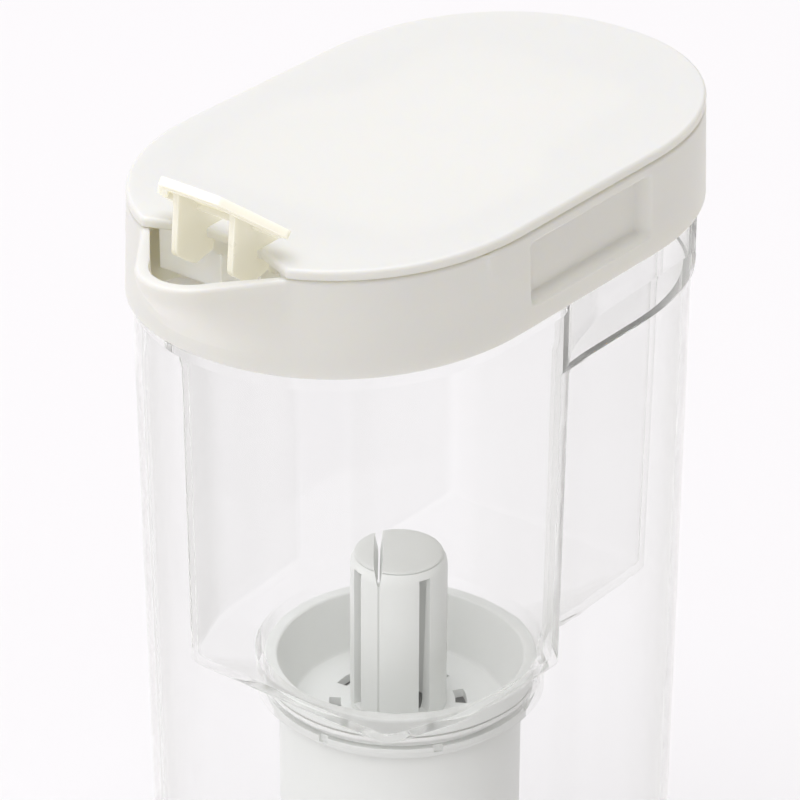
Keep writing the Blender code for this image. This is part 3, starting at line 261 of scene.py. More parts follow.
class CartridgeSizes(bpy.types.PropertyGroup):
    rim: length("Rim radius", "Radius of the cup's rim", 0.0344)
    rim_height: length("Rim height", "Height of the cup's rim", 0.0045)
    rim_wall: length("Rim wall", "Thickness of the rim", 0.0033)
    seat: length("Seat step", "Step from the rim in to the seal's bore", 0.0008)
    shank: length("Shank step", "Step from the rim in to the shank", 0.0016)
    lock: length("Lock step", "Step from the rim in to the lock's neck", 0.0028)
    floor: length("Floor step", "Step from the rim in to the floor's edge", 0.0074)
    ring: length("Ring step", "Step from the rim in to the lock ring", 0.0010)
    body: length("Body step", "Step from the rim in to the cartridge's body", 0.0036)
    wall: length("Wall", "Thickness of the body's wall", 0.0018)
    depth: length("Cup depth", "Depth of the cup", 0.0151)
    floor_thick: length("Floor thickness", "Thickness of the cup's floor", 0.0024)
    slots: count("Slots", "Water slots in the cup's floor", 8)
    slot_inner: length("Slot inner", "Inner radius of the slots", 0.0148)
    slot_outer: length("Slot outer", "Outer radius of the slots", 0.0178)
    slot_share: share("Slot share", "Share of the ring that the slots take", 0.50)
    post: length("Post radius", "Radius of the slotted post", 0.01235)
    post_wall: length("Post wall", "Thickness of its wall", 0.0018)
    groove: length("Groove", "Width of the post's long slots", 0.0033)
    grooves: count("Grooves", "Long slots round the post", 4)
    groove_turn: turn("Groove turn", "Direction of the first long slot", 70)
    crown_drop: length("Crown drop", "From the cap's highest level down to its crown", 0.0040)
    brow: length("Brow", "How far the post draws in under its cap", 0.0011)
    brow_height: length("Brow height", "Height over which it draws in", 0.0032)
    dome_fullness: share("Dome fullness", "Below one, the dome's shoulders are fuller", 0.85)
    slit: length("Slit", "Width of the slit at its foot", 0.0005)
    slit_mouth: length("Slit mouth", "Width of the slit at the top", 0.0030)
    slit_aside: length("Slit aside", "Distance of the slit from the axis", 0.0054)
    slit_depth: length("Slit depth", "Depth of the slit below the cap's edge", 0.0040)
    slit_seam: length("Slit seam", "Width of the seam from the slit to the foot", 0.0005)
    slit_turn: turn("Slit turn", "Direction of the slit", 38)
    notches: count("Notches", "Index notches round the lock ring", 7)
    notch_turn: turn("Notch turn", "Direction of the first notch", -22)
    notch_width: length("Notch width", "Width of a notch", 0.0024)
    notch_height: length("Notch height", "Height of a notch", 0.0018)
    notch_depth: length("Notch depth", "Depth of a notch", 0.0011)


class LidSizes(bpy.types.PropertyGroup):
    edge: length("Edge", "Rounding of the lid's top edge", 0.0010)
    hem: length("Hem", "Small slope of its lower edge", 0.0002)
    corner: length("Notch corner", "Place of the notch's outer corners", -0.0767)
    corner_half: length("Corner half", "Half-width between them", 0.0216)
    inner: length("Notch inner", "Place of the notch's inner edge", -0.0725)
    inner_half: length("Inner half", "Half-width of the inner edge", 0.0110)
    tab: length("Tab", "Front of the tab between the arms", -0.0715)
    slot_rear: length("Slot rear", "Rear end of the slots for the arms", -0.0612)
    round: length("Notch rounding", "Radius of the tab's corners", 0.0013)
    corner_round: length("Corner rounding", "Radius of the notch's outer corners", 0.0018)
    hinge: length("Hinge", "Place of the cover's hinge", -0.0647)
    arm_half: length("Arm half", "Half-distance between the cover's arms", 0.0083)
    arm_thick: length("Arm thickness", "Thickness of an arm", 0.0017)
    arm_gap: length("Arm gap", "Play on each side of an arm", 0.0004)


class CoverSizes(bpy.types.PropertyGroup):
    open: turn("Open", "How far the cover stands open", 39.5)
    thick: length("Thickness", "Thickness of the cover's edge", 0.0021)
    skin: share("Skin share", "Share of it left above the hollow", 0.55)
    base: length("Base", "Rear edge when closed", -0.0749)
    base_half: length("Base half", "Half-width at the rear", 0.0199)
    chamfer: length("Chamfer", "Depth of the rear corners' slope", 0.0018)
    chamfer_half: length("Chamfer half", "Half-width between the slopes", 0.0150)
    tip: length("Tip", "Front edge when closed", -0.0927)
    tip_half: length("Tip half", "Half-width at the front", 0.0086)
    corner: length("Corner", "Radius of the corners", 0.0014)
    rim_drop: length("Rim drop", "How far the rim stands below", 0.0004)
    rim_inset: length("Rim inset", "From the edge in to the rim", 0.0012)
    rim_wall: length("Rim wall", "Thickness of the rim", 0.0014)
    arm_front: length("Arm front", "Front end of an arm, from the hinge", -0.0216)
    toe: length("Toe", "Lower front corner of an arm", -0.0124)
    toe_drop: length("Toe drop", "Depth of that corner", 0.0103)
    heel: length("Heel", "Lower rear corner of an arm", -0.0044)
    heel_drop: length("Heel drop", "Depth of that corner", 0.0098)
    arm_round: length("Arm rounding", "Radius of an arm's corners", 0.0022)
    eye: length("Eye", "Radius of the arm round the pin", 0.0026)
    pin: length("Pin", "Radius of the pin", 0.0012)
    edge: length("Edge", "Rounding of the cover's edges", 0.0004)


class Finishes(bpy.types.PropertyGroup):
    white: tint("White plastic", "Collar and lid", (0.795, 0.806, 0.798))
    milky: tint("Milky plastic", "Spout cover", (0.490, 0.482, 0.452))
    clear: tint("Clear plastic", "Jug and reservoir", (0.998, 0.999, 0.998))
    grey: tint("Light grey plastic", "Cartridge", (0.640, 0.650, 0.630))
    silicone: tint("Silicone", "Seals", (0.800, 0.800, 0.780))
    steel: tint("Steel", "Hinge pin and inlet mesh", (0.620, 0.620, 0.600))
    felt: tint("Felt", "Pad below the inlet mesh", (0.900, 0.900, 0.860))
    carbon: tint("Carbon", "Filter granules", (0.050, 0.050, 0.050))
    resin: tint("Resin", "Potting round the fibres", (0.820, 0.760, 0.600))
    fibre: tint("Fibre", "Hollow fibres", (0.930, 0.930, 0.900))


GROUPS = {
    "pitcher_outline": OutlineSizes,
    "pitcher_jug": JugSizes,
    "pitcher_collar": CollarSizes,
    "pitcher_reservoir": ReservoirSizes,
    "pitcher_cartridge": CartridgeSizes,
    "pitcher_lid": LidSizes,
    "pitcher_cover": CoverSizes,
    "pitcher_finishes": Finishes,
}


def sizes(name):
    """The scene's own group of sizes for a piece."""
    return getattr(bpy.context.scene, "pitcher_" + name)


def rounded_path(corners):
    """Points of an open path whose corners (x, y, radius) are rounded by tangent arcs."""
    points = []
    for i, (x, y, radius) in enumerate(corners):
        here = Vector((x, y))
        if radius == 0 or i in (0, len(corners) - 1):
            points.append(here)
            continue
        before = (Vector(corners[i - 1][:2]) - here).normalized()
        after = (Vector(corners[i + 1][:2]) - here).normalized()
        half = before.angle(after) / 2
        reach = radius / math.tan(half)
        centre = here + (before + after).normalized() * (radius / math.sin(half))
        start = here + before * reach - centre
        sweep = start.angle_signed(here + after * reach - centre)
        points += [centre + Matrix.Rotation(-sweep * k / CORNER_STEPS, 2) @ start
                   for k in range(CORNER_STEPS + 1)]
    return np.array([tuple(p) for p in points])


def mirrored(half):
    """Close a path that runs from y = 0 to y = 0 on the +Y side with its mirror image."""
    return np.vstack([half, half[1:-1][::-1] * np.array([1, -1])])


def offset(outline, distance):
    """Move a closed outline outward, along normals taken from each point's neighbours."""
    along = np.roll(outline, -1, 0) - np.roll(outline, 1, 0)
    along /= np.linalg.norm(along, axis=1)[:, None]
    normal = np.column_stack([along[:, 1], -along[:, 0]])
    following = np.roll(outline, -1, 0)
    area = np.sum(outline[:, 0] * following[:, 1] - outline[:, 1] * following[:, 0])
    return outline + normal * np.reshape(distance, (-1, 1)) * (1 if area > 0 else -1)


def shrunk(corners, distance):
    """A half outline's corners (x, y, radius) with every side moved inward and tighter rounding."""
    points = [Vector(corner[:2]) for corner in corners]
    moved = []
    for before, here, after, corner in zip(points, points[1:], points[2:], corners[1:]):
        back = (before - here).normalized()
        on = (after - here).normalized()
        place = here + (back + on).normalized() * distance / math.sin(back.angle(on) / 2)
        moved.append((place.x, place.y, corner[2] / 2))
    return [(moved[0][0], 0, 0)] + moved + [(moved[-1][0], 0, 0)]


def quarter(steps=CORNER_STEPS):
    """Pairs of (1 - sine, 1 - cosine) along a quarter turn, for rounded edges."""
    angles = [math.pi / 2 * k / steps for k in range(steps + 1)]
    return [(1 - math.sin(angle), 1 - math.cos(angle)) for angle in angles]


def smooth_share(value):
    """An even step from 0 to 1."""
    value = min(max(value, 0), 1)
    return value * value * (3 - 2 * value)


def side_stations(outline):
    """Places along the straight side, from rear to front, close together on the recess's slopes."""
    collar = sizes("collar")
    rear, front = collar.recess_rear, collar.recess_front
    ramp = collar.recess_ramp
    places = list(np.linspace(rear, rear - ramp, RAMP_STEPS))
    places += list(np.linspace(rear - ramp, front + ramp, SIDE_STEPS)[1:-1])
    places += list(np.linspace(front + ramp, front, RAMP_STEPS))
    return [x for x in places if abs(x) < outline.half_straight]


def oval():
    """The shared plan outline, counter-clockwise from the rear, with close points where the beak is."""
    shape = sizes("outline")
    power = 2 / shape.roundness
    half = []
    for k in range(END_STEPS + 1):
        angle = math.pi / 2 * k / END_STEPS
        half.append((shape.half_straight + shape.rear_axis * max(math.cos(angle), 0) ** power,
                     shape.half_width * math.sin(angle) ** power))
    half += [(x, shape.half_width) for x in side_stations(shape)]
    front_angle = math.asin((shape.beak_root / shape.half_width) ** (1 / power))
    for k in range(FRONT_STEPS):
        angle = math.pi / 2 + (math.pi / 2 - front_angle) * k / FRONT_STEPS
        half.append((-shape.half_straight - shape.front_axis * abs(math.cos(angle)) ** power,
                     shape.half_width * math.sin(angle) ** power))
    for k in range(BEAK_STEPS + 1):
        y = shape.beak_root * (1 - k / BEAK_STEPS)
        reach = (1 - (y / shape.half_width) ** shape.roundness) ** (1 / shape.roundness)
        half.append((-shape.half_straight - shape.front_axis * reach, y))
    half[0] = (half[0][0], 0)
    half[-1] = (half[-1][0], 0)
    return mirrored(np.array(half))


def beaked(outline, amount):
    """The oval with its nose drawn out by the given share into a beak with a round tip."""
    shape = sizes("outline")
    apex = -shape.beak_reach - shape.beak_radius * (1 / math.sin(shape.beak_angle) - 1)
    across = np.abs(outline[:, 1])
    flank = apex + across / math.tan(shape.beak_angle)
    bulge = np.sqrt(np.maximum(shape.beak_radius ** 2 - across ** 2, 0))
    arc = shape.beak_radius - shape.beak_reach - bulge
    nose = np.where(across < shape.beak_radius * math.cos(shape.beak_angle), arc, flank)
    blend = -shape.beak_blend * np.logaddexp(-nose / shape.beak_blend, -outline[:, 0] / shape.beak_blend)
    front = outline[:, 0] < -shape.half_straight
    result = outline.copy()
    result[front, 0] += amount * (blend[front] - outline[front, 0])
    return result


def recess_share(x, z):
    """How much of the finger recess's depth is cut at a place on the collar's side."""
    collar = sizes("collar")
    along = min(x - collar.recess_front, collar.recess_rear - x) / collar.recess_ramp
    top = Z_COLLAR_TOP - collar.recess_drop
    up = min(top - z, z - top + collar.recess_height) / collar.recess_corner
    return smooth_share(along) * smooth_share(up)


def collar_ring(outline, z, inward):
    """The collar's outline at a height: beak, flare and finger recesses, moved inward by a wall."""
    shape = sizes("outline")
    collar = sizes("collar")
    rise = (z - Z_COLLAR) / (Z_COLLAR_TOP - Z_COLLAR)
    ring = offset(beaked(outline, smooth_share(rise)), collar.flare * (1 - rise) - inward)
    depth = collar.recess_depth
    if inward > 0:
        depth += collar.recess_wall - collar.wall
        high = smooth_share((z - Z_COLLAR_TOP + collar.lip_height) / collar.lip_height)
        run = (ring[:, 0] - collar.lip_start) / (collar.lip_full - collar.lip_start)
        ring = offset(ring, -collar.lip * high * np.clip(run, 0, 1))
    for k, (x, y) in enumerate(ring):
        if abs(x) < shape.half_straight + collar.recess_ramp:
            ring[k, 1] -= math.copysign(depth * recess_share(x, z), y)
    return ring


def pocket_limit(x):
    """Half-width of the jug's outer wall inside the grip pockets."""
    jug = sizes("jug")
    half = sizes("outline").half_width
    corners = [(jug.pocket_tip, half, 0),
               (jug.pocket_curve, jug.pocket_curve_half, jug.pocket_radius),
               (jug.pocket_turn, jug.pocket_turn_half, jug.pocket_radius),
               (jug.pocket_rear, jug.pocket_rear_half, 0)]
    wall = rounded_path(corners)
    return np.where(x > jug.pocket_tip, np.interp(x, wall[:, 0], wall[:, 1]), half)


def jug_ring(outline, inset, z, pocket=False, inward=0, below_band=False):
    """The jug's outline at a height; the nose has no step at the band and leans back to the foot."""
    jug = sizes("jug")
    shape = sizes("outline")
    z_pocket = Z_COLLAR - jug.pocket_height
    behind = np.clip((outline[:, 0] - jug.pocket_tip) / jug.band_fade, 0, 1)
    relief = (jug.body_inset - jug.band_inset) * (1 - behind) if below_band else 0
    ring = offset(outline, relief - inset - inward)
    if pocket:
        limit = pocket_limit(ring[:, 0]) - inward
        ring[:, 1] = np.clip(ring[:, 1], -limit, limit)
    fall = max(z_pocket - z, 0) / z_pocket
    front = ring[:, 0] < -shape.half_straight
    ring[front, 0] += fall * jug.front_draft * (-ring[front, 0] - shape.half_straight) / shape.front_axis
    return ring


def circle(radius, steps, middle=0):
    """Points (x, y) round a circle whose middle is on the X axis."""
    angles = [math.tau * k / steps for k in range(steps)]
    return [(middle + radius * math.cos(angle), radius * math.sin(angle)) for angle in angles]


def skin(body, loops, closed):
    """Faces between neighbouring loops of vertices, which may shrink to a single one on an axis."""
    pairs = list(zip(loops, loops[1:]))
    if closed:
        pairs.append((loops[-1], loops[0]))
    for first, second in pairs:
        steps = max(len(first), len(second))
        for k in range(steps):
            following = (k + 1) % steps
            if len(first) == 1:
                body.faces.new((first[0], second[following], second[k]))
            elif len(second) == 1:
                body.faces.new((first[k], first[following], second[0]))
            else:
                body.faces.new((first[k], first[following], second[following], second[k]))


def loft(rings, capped=False):
    """Skin (outline, height) rings: capped at both ends, or joined into a closed sleeve."""
    body = bmesh.new()
    loops = [[body.verts.new((x, y, z)) for x, y in outline] for outline, z in rings]
    skin(body, loops, closed=not capped)
    if capped:
        body.faces.new(loops[0])
        body.faces.new(loops[-1])
    return body


def turned(profile):
    """Spin a closed profile of (radius, height) about the cartridge's axis."""
    body = bmesh.new()
    loops = []
    for radius, z in profile:
        points = circle(radius, ROUND_STEPS, CARTRIDGE_X) if radius > 0 else [(CARTRIDGE_X, 0)]
        loops.append([body.verts.new((x, y, z)) for x, y in points])
    skin(body, loops, closed=profile[0][0] > 0)
    return body


def prism(outline, low, high):
    """An upright solid with the same outline at two heights."""
    return loft([(outline, low), (outline, high)], capped=True)


def block(low, high):
    """A plain cutting block between two corners."""
    (x0, y0, z0), (x1, y1, z1) = low, high
    return prism(np.array([(x0, y0), (x1, y0), (x1, y1), (x0, y1)]), z0, z1)


def about_axis(body, angle):
    """Turn a mesh about the cartridge's axis."""
    centre = Matrix.Translation((CARTRIDGE_X, 0, 0))
    matrix = centre @ Matrix.Rotation(angle, 4, "Z") @ centre.inverted()
    bmesh.ops.transform(body, matrix=matrix, verts=body.verts)
    return body


def ring_of(number, make):
    """Join a mesh repeated round the cartridge's axis."""
    body = bmesh.new()
    for k in range(number):
        mesh = as_mesh("repeat", about_axis(make(), math.tau * k / number))
        body.from_mesh(mesh)
        bpy.data.meshes.remove(mesh)
    return body


def laid_over(body, y):
    """Turn an upright mesh on its side, about the cover's hinge and at the given place across it."""
    place = Matrix.Translation((sizes("lid").hinge, y, Z_PIN)) @ Matrix.Rotation(math.pi / 2, 4, "X")
    bmesh.ops.transform(body, matrix=place, verts=body.verts)
    return body


def rod(radius, half_length):
    """A round bar along the cover's hinge."""
    return laid_over(prism(circle(radius, DETAIL_STEPS), -half_length, half_length), 0)


def placed(name, data):
    """A new object in the scene."""
    made = bpy.data.objects.new(name, data)
    bpy.context.scene.collection.objects.link(made)
    return made


def as_mesh(name, body):
    """Keep a mesh under construction as mesh data."""
    mesh = bpy.data.meshes.new(name)
    body.to_mesh(mesh)
    body.free()
    return mesh


def solid(name, body):
    """An object made of a mesh in plan positions and real heights."""
    bmesh.ops.remove_doubles(body, verts=body.verts, dist=MERGE)
    bmesh.ops.dissolve_degenerate(body, edges=body.edges, dist=MERGE)
    bmesh.ops.recalc_face_normals(body, faces=body.faces)
    bmesh.ops.translate(body, verts=body.verts, vec=(PLAN_X, 0, 0))
    return placed(name, as_mesh(name, body))


def combine(target, tool, operation="DIFFERENCE"):
    """Cut one object with another, or join them, and remove the tool."""
    change = target.modifiers.new(tool.name, "BOOLEAN")
    change.operation = operation
    change.solver = "EXACT"
    change.object = tool
    settle(target)
    bpy.data.objects.remove(tool, do_unlink=True)


def round_edges(target, width):
    """Round the sharp edges of a moulded piece with a modifier."""
    change = target.modifiers.new("edge", "BEVEL")
    change.width = width
    change.segments = BEVEL_STEPS
    change.limit_method = "ANGLE"
    change.angle_limit = BEVEL_ANGLE


def soften(target, width):
    """Round the sharp edges of a piece for good."""
    round_edges(target, width)
    settle(target)


def settle(target):
    """Keep the result of an object's modifiers as its own mesh."""
    bpy.context.view_layer.update()
    evaluated = target.evaluated_get(bpy.context.evaluated_depsgraph_get())
    target.data = bpy.data.meshes.new_from_object(evaluated)
    target.modifiers.clear()


def coat(target, material):
    """Smooth shading with crisp creases, and one material."""
    target.data.shade_smooth()
    target.data.set_sharp_from_angle(angle=CREASE)
    target.data.materials.clear()
    target.data.materials.append(material)


def dress(target, material, body, slot, *nodes):
    """Give a finished piece its smooth shading, finish, body and the CAD nodes that it stands for."""
    coat(target, material)
    even = target.modifiers.new("even_shading", "WEIGHTED_NORMAL")
    even.keep_sharp = True
    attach(target, body)
    if nodes:
        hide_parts(*nodes)


def finish_node(name, material):
    """A CAD node that keeps its shape: smooth shading and a finish."""
    coat(NODES[name], material)


class Value:
    """A shader socket that adds, subtracts, multiplies and takes powers like a plain number."""

    def __init__(self, paint, socket):
        self.paint = paint
        self.socket = socket

    def joined(self, operation, first, second):
        node = self.paint.node("ShaderNodeMath", {"operation": operation}, {0: first, 1: second})
        return Value(self.paint, node.outputs[0])

    def __add__(self, other):
        return self.joined("ADD", self, other)

    def __sub__(self, other):
        return self.joined("SUBTRACT", self, other)

    def __rsub__(self, other):
        return self.joined("SUBTRACT", other, self)

    def __mul__(self, other):
        return self.joined("MULTIPLY", self, other)

    def __pow__(self, other):
        return self.joined("POWER", self, other)

    def __rpow__(self, other):
        return self.joined("POWER", other, self)

    __radd__ = __add__
    __rmul__ = __mul__


class Wiring:
    """A node tree under construction."""

    def __init__(self, tree):
        self.tree = tree

    def node(self, kind, settings=None, inputs=None):
        """A node of a type, with its settings set first and then its sockets' values or links."""
        made = self.tree.nodes.new(kind)
        for key, value in (settings or {}).items():
            if key == "stops":
                for stop, (place, shade) in zip(made.color_ramp.elements, value):
                    stop.position = place
                    stop.color = (shade, shade, shade, 1)
            else:
                setattr(made, key, value)
        for key, value in (inputs or {}).items():
            self.feed(made.inputs[key], value)
        return made

    def feed(self, socket, value):
        """Link a socket, or set its value."""
        if isinstance(value, Value):
            value = value.socket
        if isinstance(value, bpy.types.NodeSocket):
            self.tree.links.new(value, socket)
        else:
            socket.default_value = value

    def blended(self, factor, first, second):
        """A mix of two colours."""
        made = self.node("ShaderNodeMix", {"data_type": "RGBA"},
                         {"Factor": factor, 6: (*first, 1), 7: (*second, 1)})
        return made.outputs[2]


class Paint(Wiring):
    """A node material under construction."""

    def __init__(self, name):
        self.material = bpy.data.materials.new(name)
        self.material.use_nodes = True
        super().__init__(self.material.node_tree)
        self.shader = self.tree.nodes["Principled BSDF"]
        self.places = self.node("ShaderNodeTexCoord").outputs["Object"]

    def stretched(self, factors):
        """Object positions multiplied along each axis."""
        made = self.node("ShaderNodeVectorMath", {"operation": "MULTIPLY"},
                         {0: self.places, 1: factors})
        return made.outputs[0]

    def noise(self, grains_per_metre, detail, places=None):
        """Soft random values round 0.5."""
        made = self.node("ShaderNodeTexNoise", None, {"Vector": places or self.places,
                                                      "Scale": grains_per_metre, "Detail": detail})
        return Value(self, made.outputs["Fac"])

    def cells(self, cells_per_metre, places=None):
        """Distance to the nearest of many scattered points."""
        made = self.node("ShaderNodeTexVoronoi", None, {"Vector": places or self.places,
                                                        "Scale": cells_per_metre})
        return Value(self, made.outputs["Distance"])

    def steps(self, value, stops):
        """A ramp between grey levels at two places."""
        made = self.node("ShaderNodeValToRGB", {"stops": stops}, {"Fac": value})
        return Value(self, made.outputs["Color"])

    def tones(self, mask, colour, low, high):
        """Base colour between two tones of a colour."""
        self.set(Base_Color=self.blended(mask, shade(colour, low), shade(colour, high)))

    def rough(self, mask, least, spread):
        """Roughness that a mask raises from its least value."""
        self.set(Roughness=mask * spread + least)

    def painted_glow(self, tint, strength):
        """Painted glow: even emission that lightens a plastic's shade, standing in for light that its thin
        walls pass on.
        """
        self.set(Emission_Color=tint, Emission_Strength=strength)

    def relief(self, height, depth, strength):
        """A bump of the given depth in metres, on the shader's normal."""
        made = self.node("ShaderNodeBump", None, {"Height": height, "Distance": depth,
                                                  "Strength": strength})
        self.feed(self.shader.inputs["Normal"], made.outputs["Normal"])

    def set(self, **sockets):
        """Set or link sockets of the shader, named with underscores for spaces."""
        for key, value in sockets.items():
            self.feed(self.shader.inputs[key.replace("_", " ")], value)


# Clear walls: painted pale reflection and glow where they are seen along the surface, and how much they
# bend the light
PAINTED_EDGE_TINT = (0.55, 0.55, 0.54, 1)
PAINTED_EDGE_POWER = 3.6
PAINTED_EDGE_SHARE = 0.90
PAINTED_EDGE_GLOW = 0.22
JUG_IOR = 1.16
TANK_IOR = 1.03
# Tints of the painted glow that lightens the plastics' shaded sides
WARM_PAINTED_GLOW = (1.0, 0.80, 0.30, 1)
CREAM_PAINTED_GLOW = (1.0, 0.95, 0.72, 1)
PALE_PAINTED_GLOW = (1.0, 1.0, 0.98, 1)
# Ramps, wires per metre of the mesh, and the floor's two tints
HAZE_STOPS = [(0.50, 0.0), (0.85, 1.0)]
BUBBLE_STOPS = [(0.05, 1.0), (0.18, 0.0)]
WIRES_SCALE = 900.0
PAPER_TINTS = ((0.915, 0.905, 0.905), (0.925, 0.915, 0.915))


def shade(colour, factor):
    """A lighter or darker tone of a colour."""
    return tuple(channel * factor for channel in colour)


def white_plastic(paint, tints):
    """Satin moulded plastic with a fine spark-eroded grain and faint flow marks."""
    grain = paint.noise(1900, detail=3)
    wave = paint.noise(60, detail=2)
    flow = paint.noise(14, detail=3, places=paint.stretched((1, 1, 3)))
    paint.tones(flow, tints.white, low=0.985, high=1.008)
    paint.rough(paint.noise(45, detail=3), least=0.27, spread=0.10)
    paint.set(Specular_IOR_Level=0.42, Subsurface_Weight=0.60, Subsurface_Scale=0.0050,
              Subsurface_Radius=(1.0, 0.85, 0.55))
    # Painted glow: warm emission that lightens the white plastic's shade
    paint.painted_glow(WARM_PAINTED_GLOW, strength=0.055)
    paint.relief(grain * 0.35 + wave, depth=0.00005, strength=0.35)


def milky_plastic(paint, tints):
    """Translucent plastic that lets some light into its thin walls, with a painted cream glow that lightens
    its shade.
    """
    paint.tones(paint.noise(90, detail=4), tints.milky, low=0.985, high=1.01)
    paint.rough(paint.noise(140, detail=3), least=0.24, spread=0.10)
    paint.set(Specular_IOR_Level=0.5, Subsurface_Weight=0.55, Subsurface_Scale=0.006,
              Subsurface_Radius=(1.0, 0.9, 0.62))
    # Painted glow: cream emission that lightens the cover's shaded fins
    paint.painted_glow(CREAM_PAINTED_GLOW, strength=0.30)
    paint.relief(paint.noise(700, detail=3), depth=0.00004, strength=0.3)


def grey_plastic(paint, tints):
    """Light grey moulded plastic of the cartridge, with a satin grain and tool marks."""
    rings = paint.noise(900, detail=2, places=paint.stretched((0.05, 0.05, 1)))
    paint.tones(paint.noise(55, detail=3), tints.grey, low=0.97, high=1.02)
    paint.rough(paint.noise(120, detail=3), least=0.30, spread=0.12)
    paint.set(Specular_IOR_Level=0.45, Subsurface_Weight=0.08, Subsurface_Scale=0.003,
              Subsurface_Radius=(1.0, 0.95, 0.8))
    # Painted glow: pale emission that lightens the cartridge's shade
    paint.painted_glow(PALE_PAINTED_GLOW, strength=0.09)
    paint.relief(paint.noise(2400, detail=2) * 0.5 + rings * 0.5, depth=0.00004, strength=0.4)


def clear_plastic(paint, colour, bend):
    """Clear glossy plastic with slight upright flow waves, faint haze, and painted pale reflection and glow
    at its grazing edges.
    """
    smear = paint.noise(30, detail=4, places=paint.stretched((1, 1, 0.4)))
    haze = paint.steps(smear, HAZE_STOPS)
    paint.tones(haze, colour, low=1, high=0.995)
    paint.rough(haze, least=0.002, spread=0.02)
    paint.set(IOR=bend, Transmission_Weight=1.0)
    wave = paint.noise(16, detail=1, places=paint.stretched((1, 1, 0.12)))
    paint.relief(wave, depth=0.00016, strength=0.2)
    # Painted reflection: a pale grey shader that glows, mixed in where the wall is seen along its surface
    edge = paint.node("ShaderNodeBsdfPrincipled", None, {
        "Base Color": PAINTED_EDGE_TINT, "Roughness": haze * 0.1 + 0.08,
        "Emission Color": PALE_PAINTED_GLOW, "Emission Strength": PAINTED_EDGE_GLOW}).outputs[0]
    facing = Value(paint, paint.node("ShaderNodeLayerWeight").outputs["Facing"])
    seen = paint.node("ShaderNodeMixShader", None, {0: facing ** PAINTED_EDGE_POWER * PAINTED_EDGE_SHARE,
                                                    1: paint.shader.outputs[0], 2: edge})
    paint.feed(paint.tree.nodes["Material Output"].inputs["Surface"], seen.outputs[0])


def jug_clear(paint, tints):
    """The jug's clear wall."""
    clear_plastic(paint, shade(tints.clear, 0.995), JUG_IOR)


def reservoir_clear(paint, tints):
    """The reservoir's clear wall, which bends the light less."""
    clear_plastic(paint, shade(tints.clear, 0.990), TANK_IOR)


def silicone_rubber(paint, tints):
    """Matt silicone with a dusty sheen."""
    paint.tones(paint.noise(200, detail=3), tints.silicone, low=0.96, high=1)
    paint.rough(paint.noise(500, detail=2), least=0.50, spread=0.15)
    paint.set(Sheen_Weight=0.2)
    paint.relief(paint.noise(1500, detail=3), depth=0.00003, strength=0.5)


def drawn_steel(paint, tints):
    """Steel with fine marks along the pin."""
    marks = paint.noise(4000, detail=2, places=paint.stretched((1, 0.02, 1)))
    paint.tones(marks, tints.steel, low=0.9, high=1.1)
    paint.rough(marks, least=0.18, spread=0.2)
    paint.set(Metallic=1.0)
    paint.relief(marks, depth=0.00001, strength=0.5)


def woven_steel(paint, tints):
    """Square woven wire of the inlet mesh."""
    wires, cross = [Value(paint, paint.node("ShaderNodeTexWave", {"bands_direction": way}, {
        "Scale": WIRES_SCALE, "Vector": paint.places}).outputs["Fac"]) for way in "XY"]
    weave = wires * cross
    paint.tones(weave, tints.steel, low=0.35, high=1)
    paint.set(Metallic=1.0, Roughness=0.35)
    paint.relief(weave, depth=0.0001, strength=0.8)


def needle_felt(paint, tints):
    """Fibrous pad."""
    fibres = paint.noise(1800, detail=6, places=paint.stretched((1, 0.3, 1)))
    paint.tones(fibres, tints.felt, low=0.85, high=1)
    paint.set(Roughness=0.95, Sheen_Weight=0.4)
    paint.relief(fibres, depth=0.0003, strength=0.8)


def carbon_granules(paint, tints):
    """Packed dark granules."""
    grains = paint.cells(1100)
    paint.tones(grains, tints.carbon, low=1.8, high=0.4)
    paint.rough(grains, least=0.55, spread=0.4)
    paint.relief(1 - grains, depth=0.0005, strength=0.9)


def cast_resin(paint, tints):
    """Amber potting with small bubbles."""
    bubbles = paint.steps(paint.cells(500), BUBBLE_STOPS)
    paint.tones(bubbles, tints.resin, low=1, high=1.15)
    paint.rough(paint.noise(200, detail=3), least=0.3, spread=0.2)
    paint.relief(bubbles, depth=0.0001, strength=0.4)


def hollow_fibres(paint, tints):
    """Bundle of fine upright fibres."""
    strands = paint.cells(1400, paint.stretched((1, 1, 0.02)))
    paint.tones(strands, tints.fibre, low=1, high=0.75)
    paint.set(Roughness=0.6, Sheen_Weight=0.2)
    paint.relief(1 - strands, depth=0.0004, strength=0.9)


def floor_paper(paint, tints):
    """Matt pale paper of the studio sweep."""
    fibres = paint.noise(900, detail=4)
    paint.set(Base_Color=paint.blended(fibres, *PAPER_TINTS), Roughness=0.95, Specular_IOR_Level=0.0)
    paint.relief(fibres, depth=0.00005, strength=0.3)


# Names that the frame's own plain materials don't have
FINISHES = {
    "moulded_white": white_plastic,
    "moulded_milky": milky_plastic,
    "moulded_grey": grey_plastic,
    "jug_clear": jug_clear,
    "reservoir_clear": reservoir_clear,
    "silicone_rubber": silicone_rubber,
    "drawn_steel": drawn_steel,
    "woven_steel": woven_steel,
    "needle_felt": needle_felt,
    "carbon_granules": carbon_granules,
    "cast_resin": cast_resin,
    "hollow_fibres": hollow_fibres,
    "floor_paper": floor_paper,
}


def finish(name):
    """A finish, made once and shared."""
    if name not in bpy.data.materials:
        FINISHES[name](Paint(name), sizes("finishes"))
    return bpy.data.materials[name]


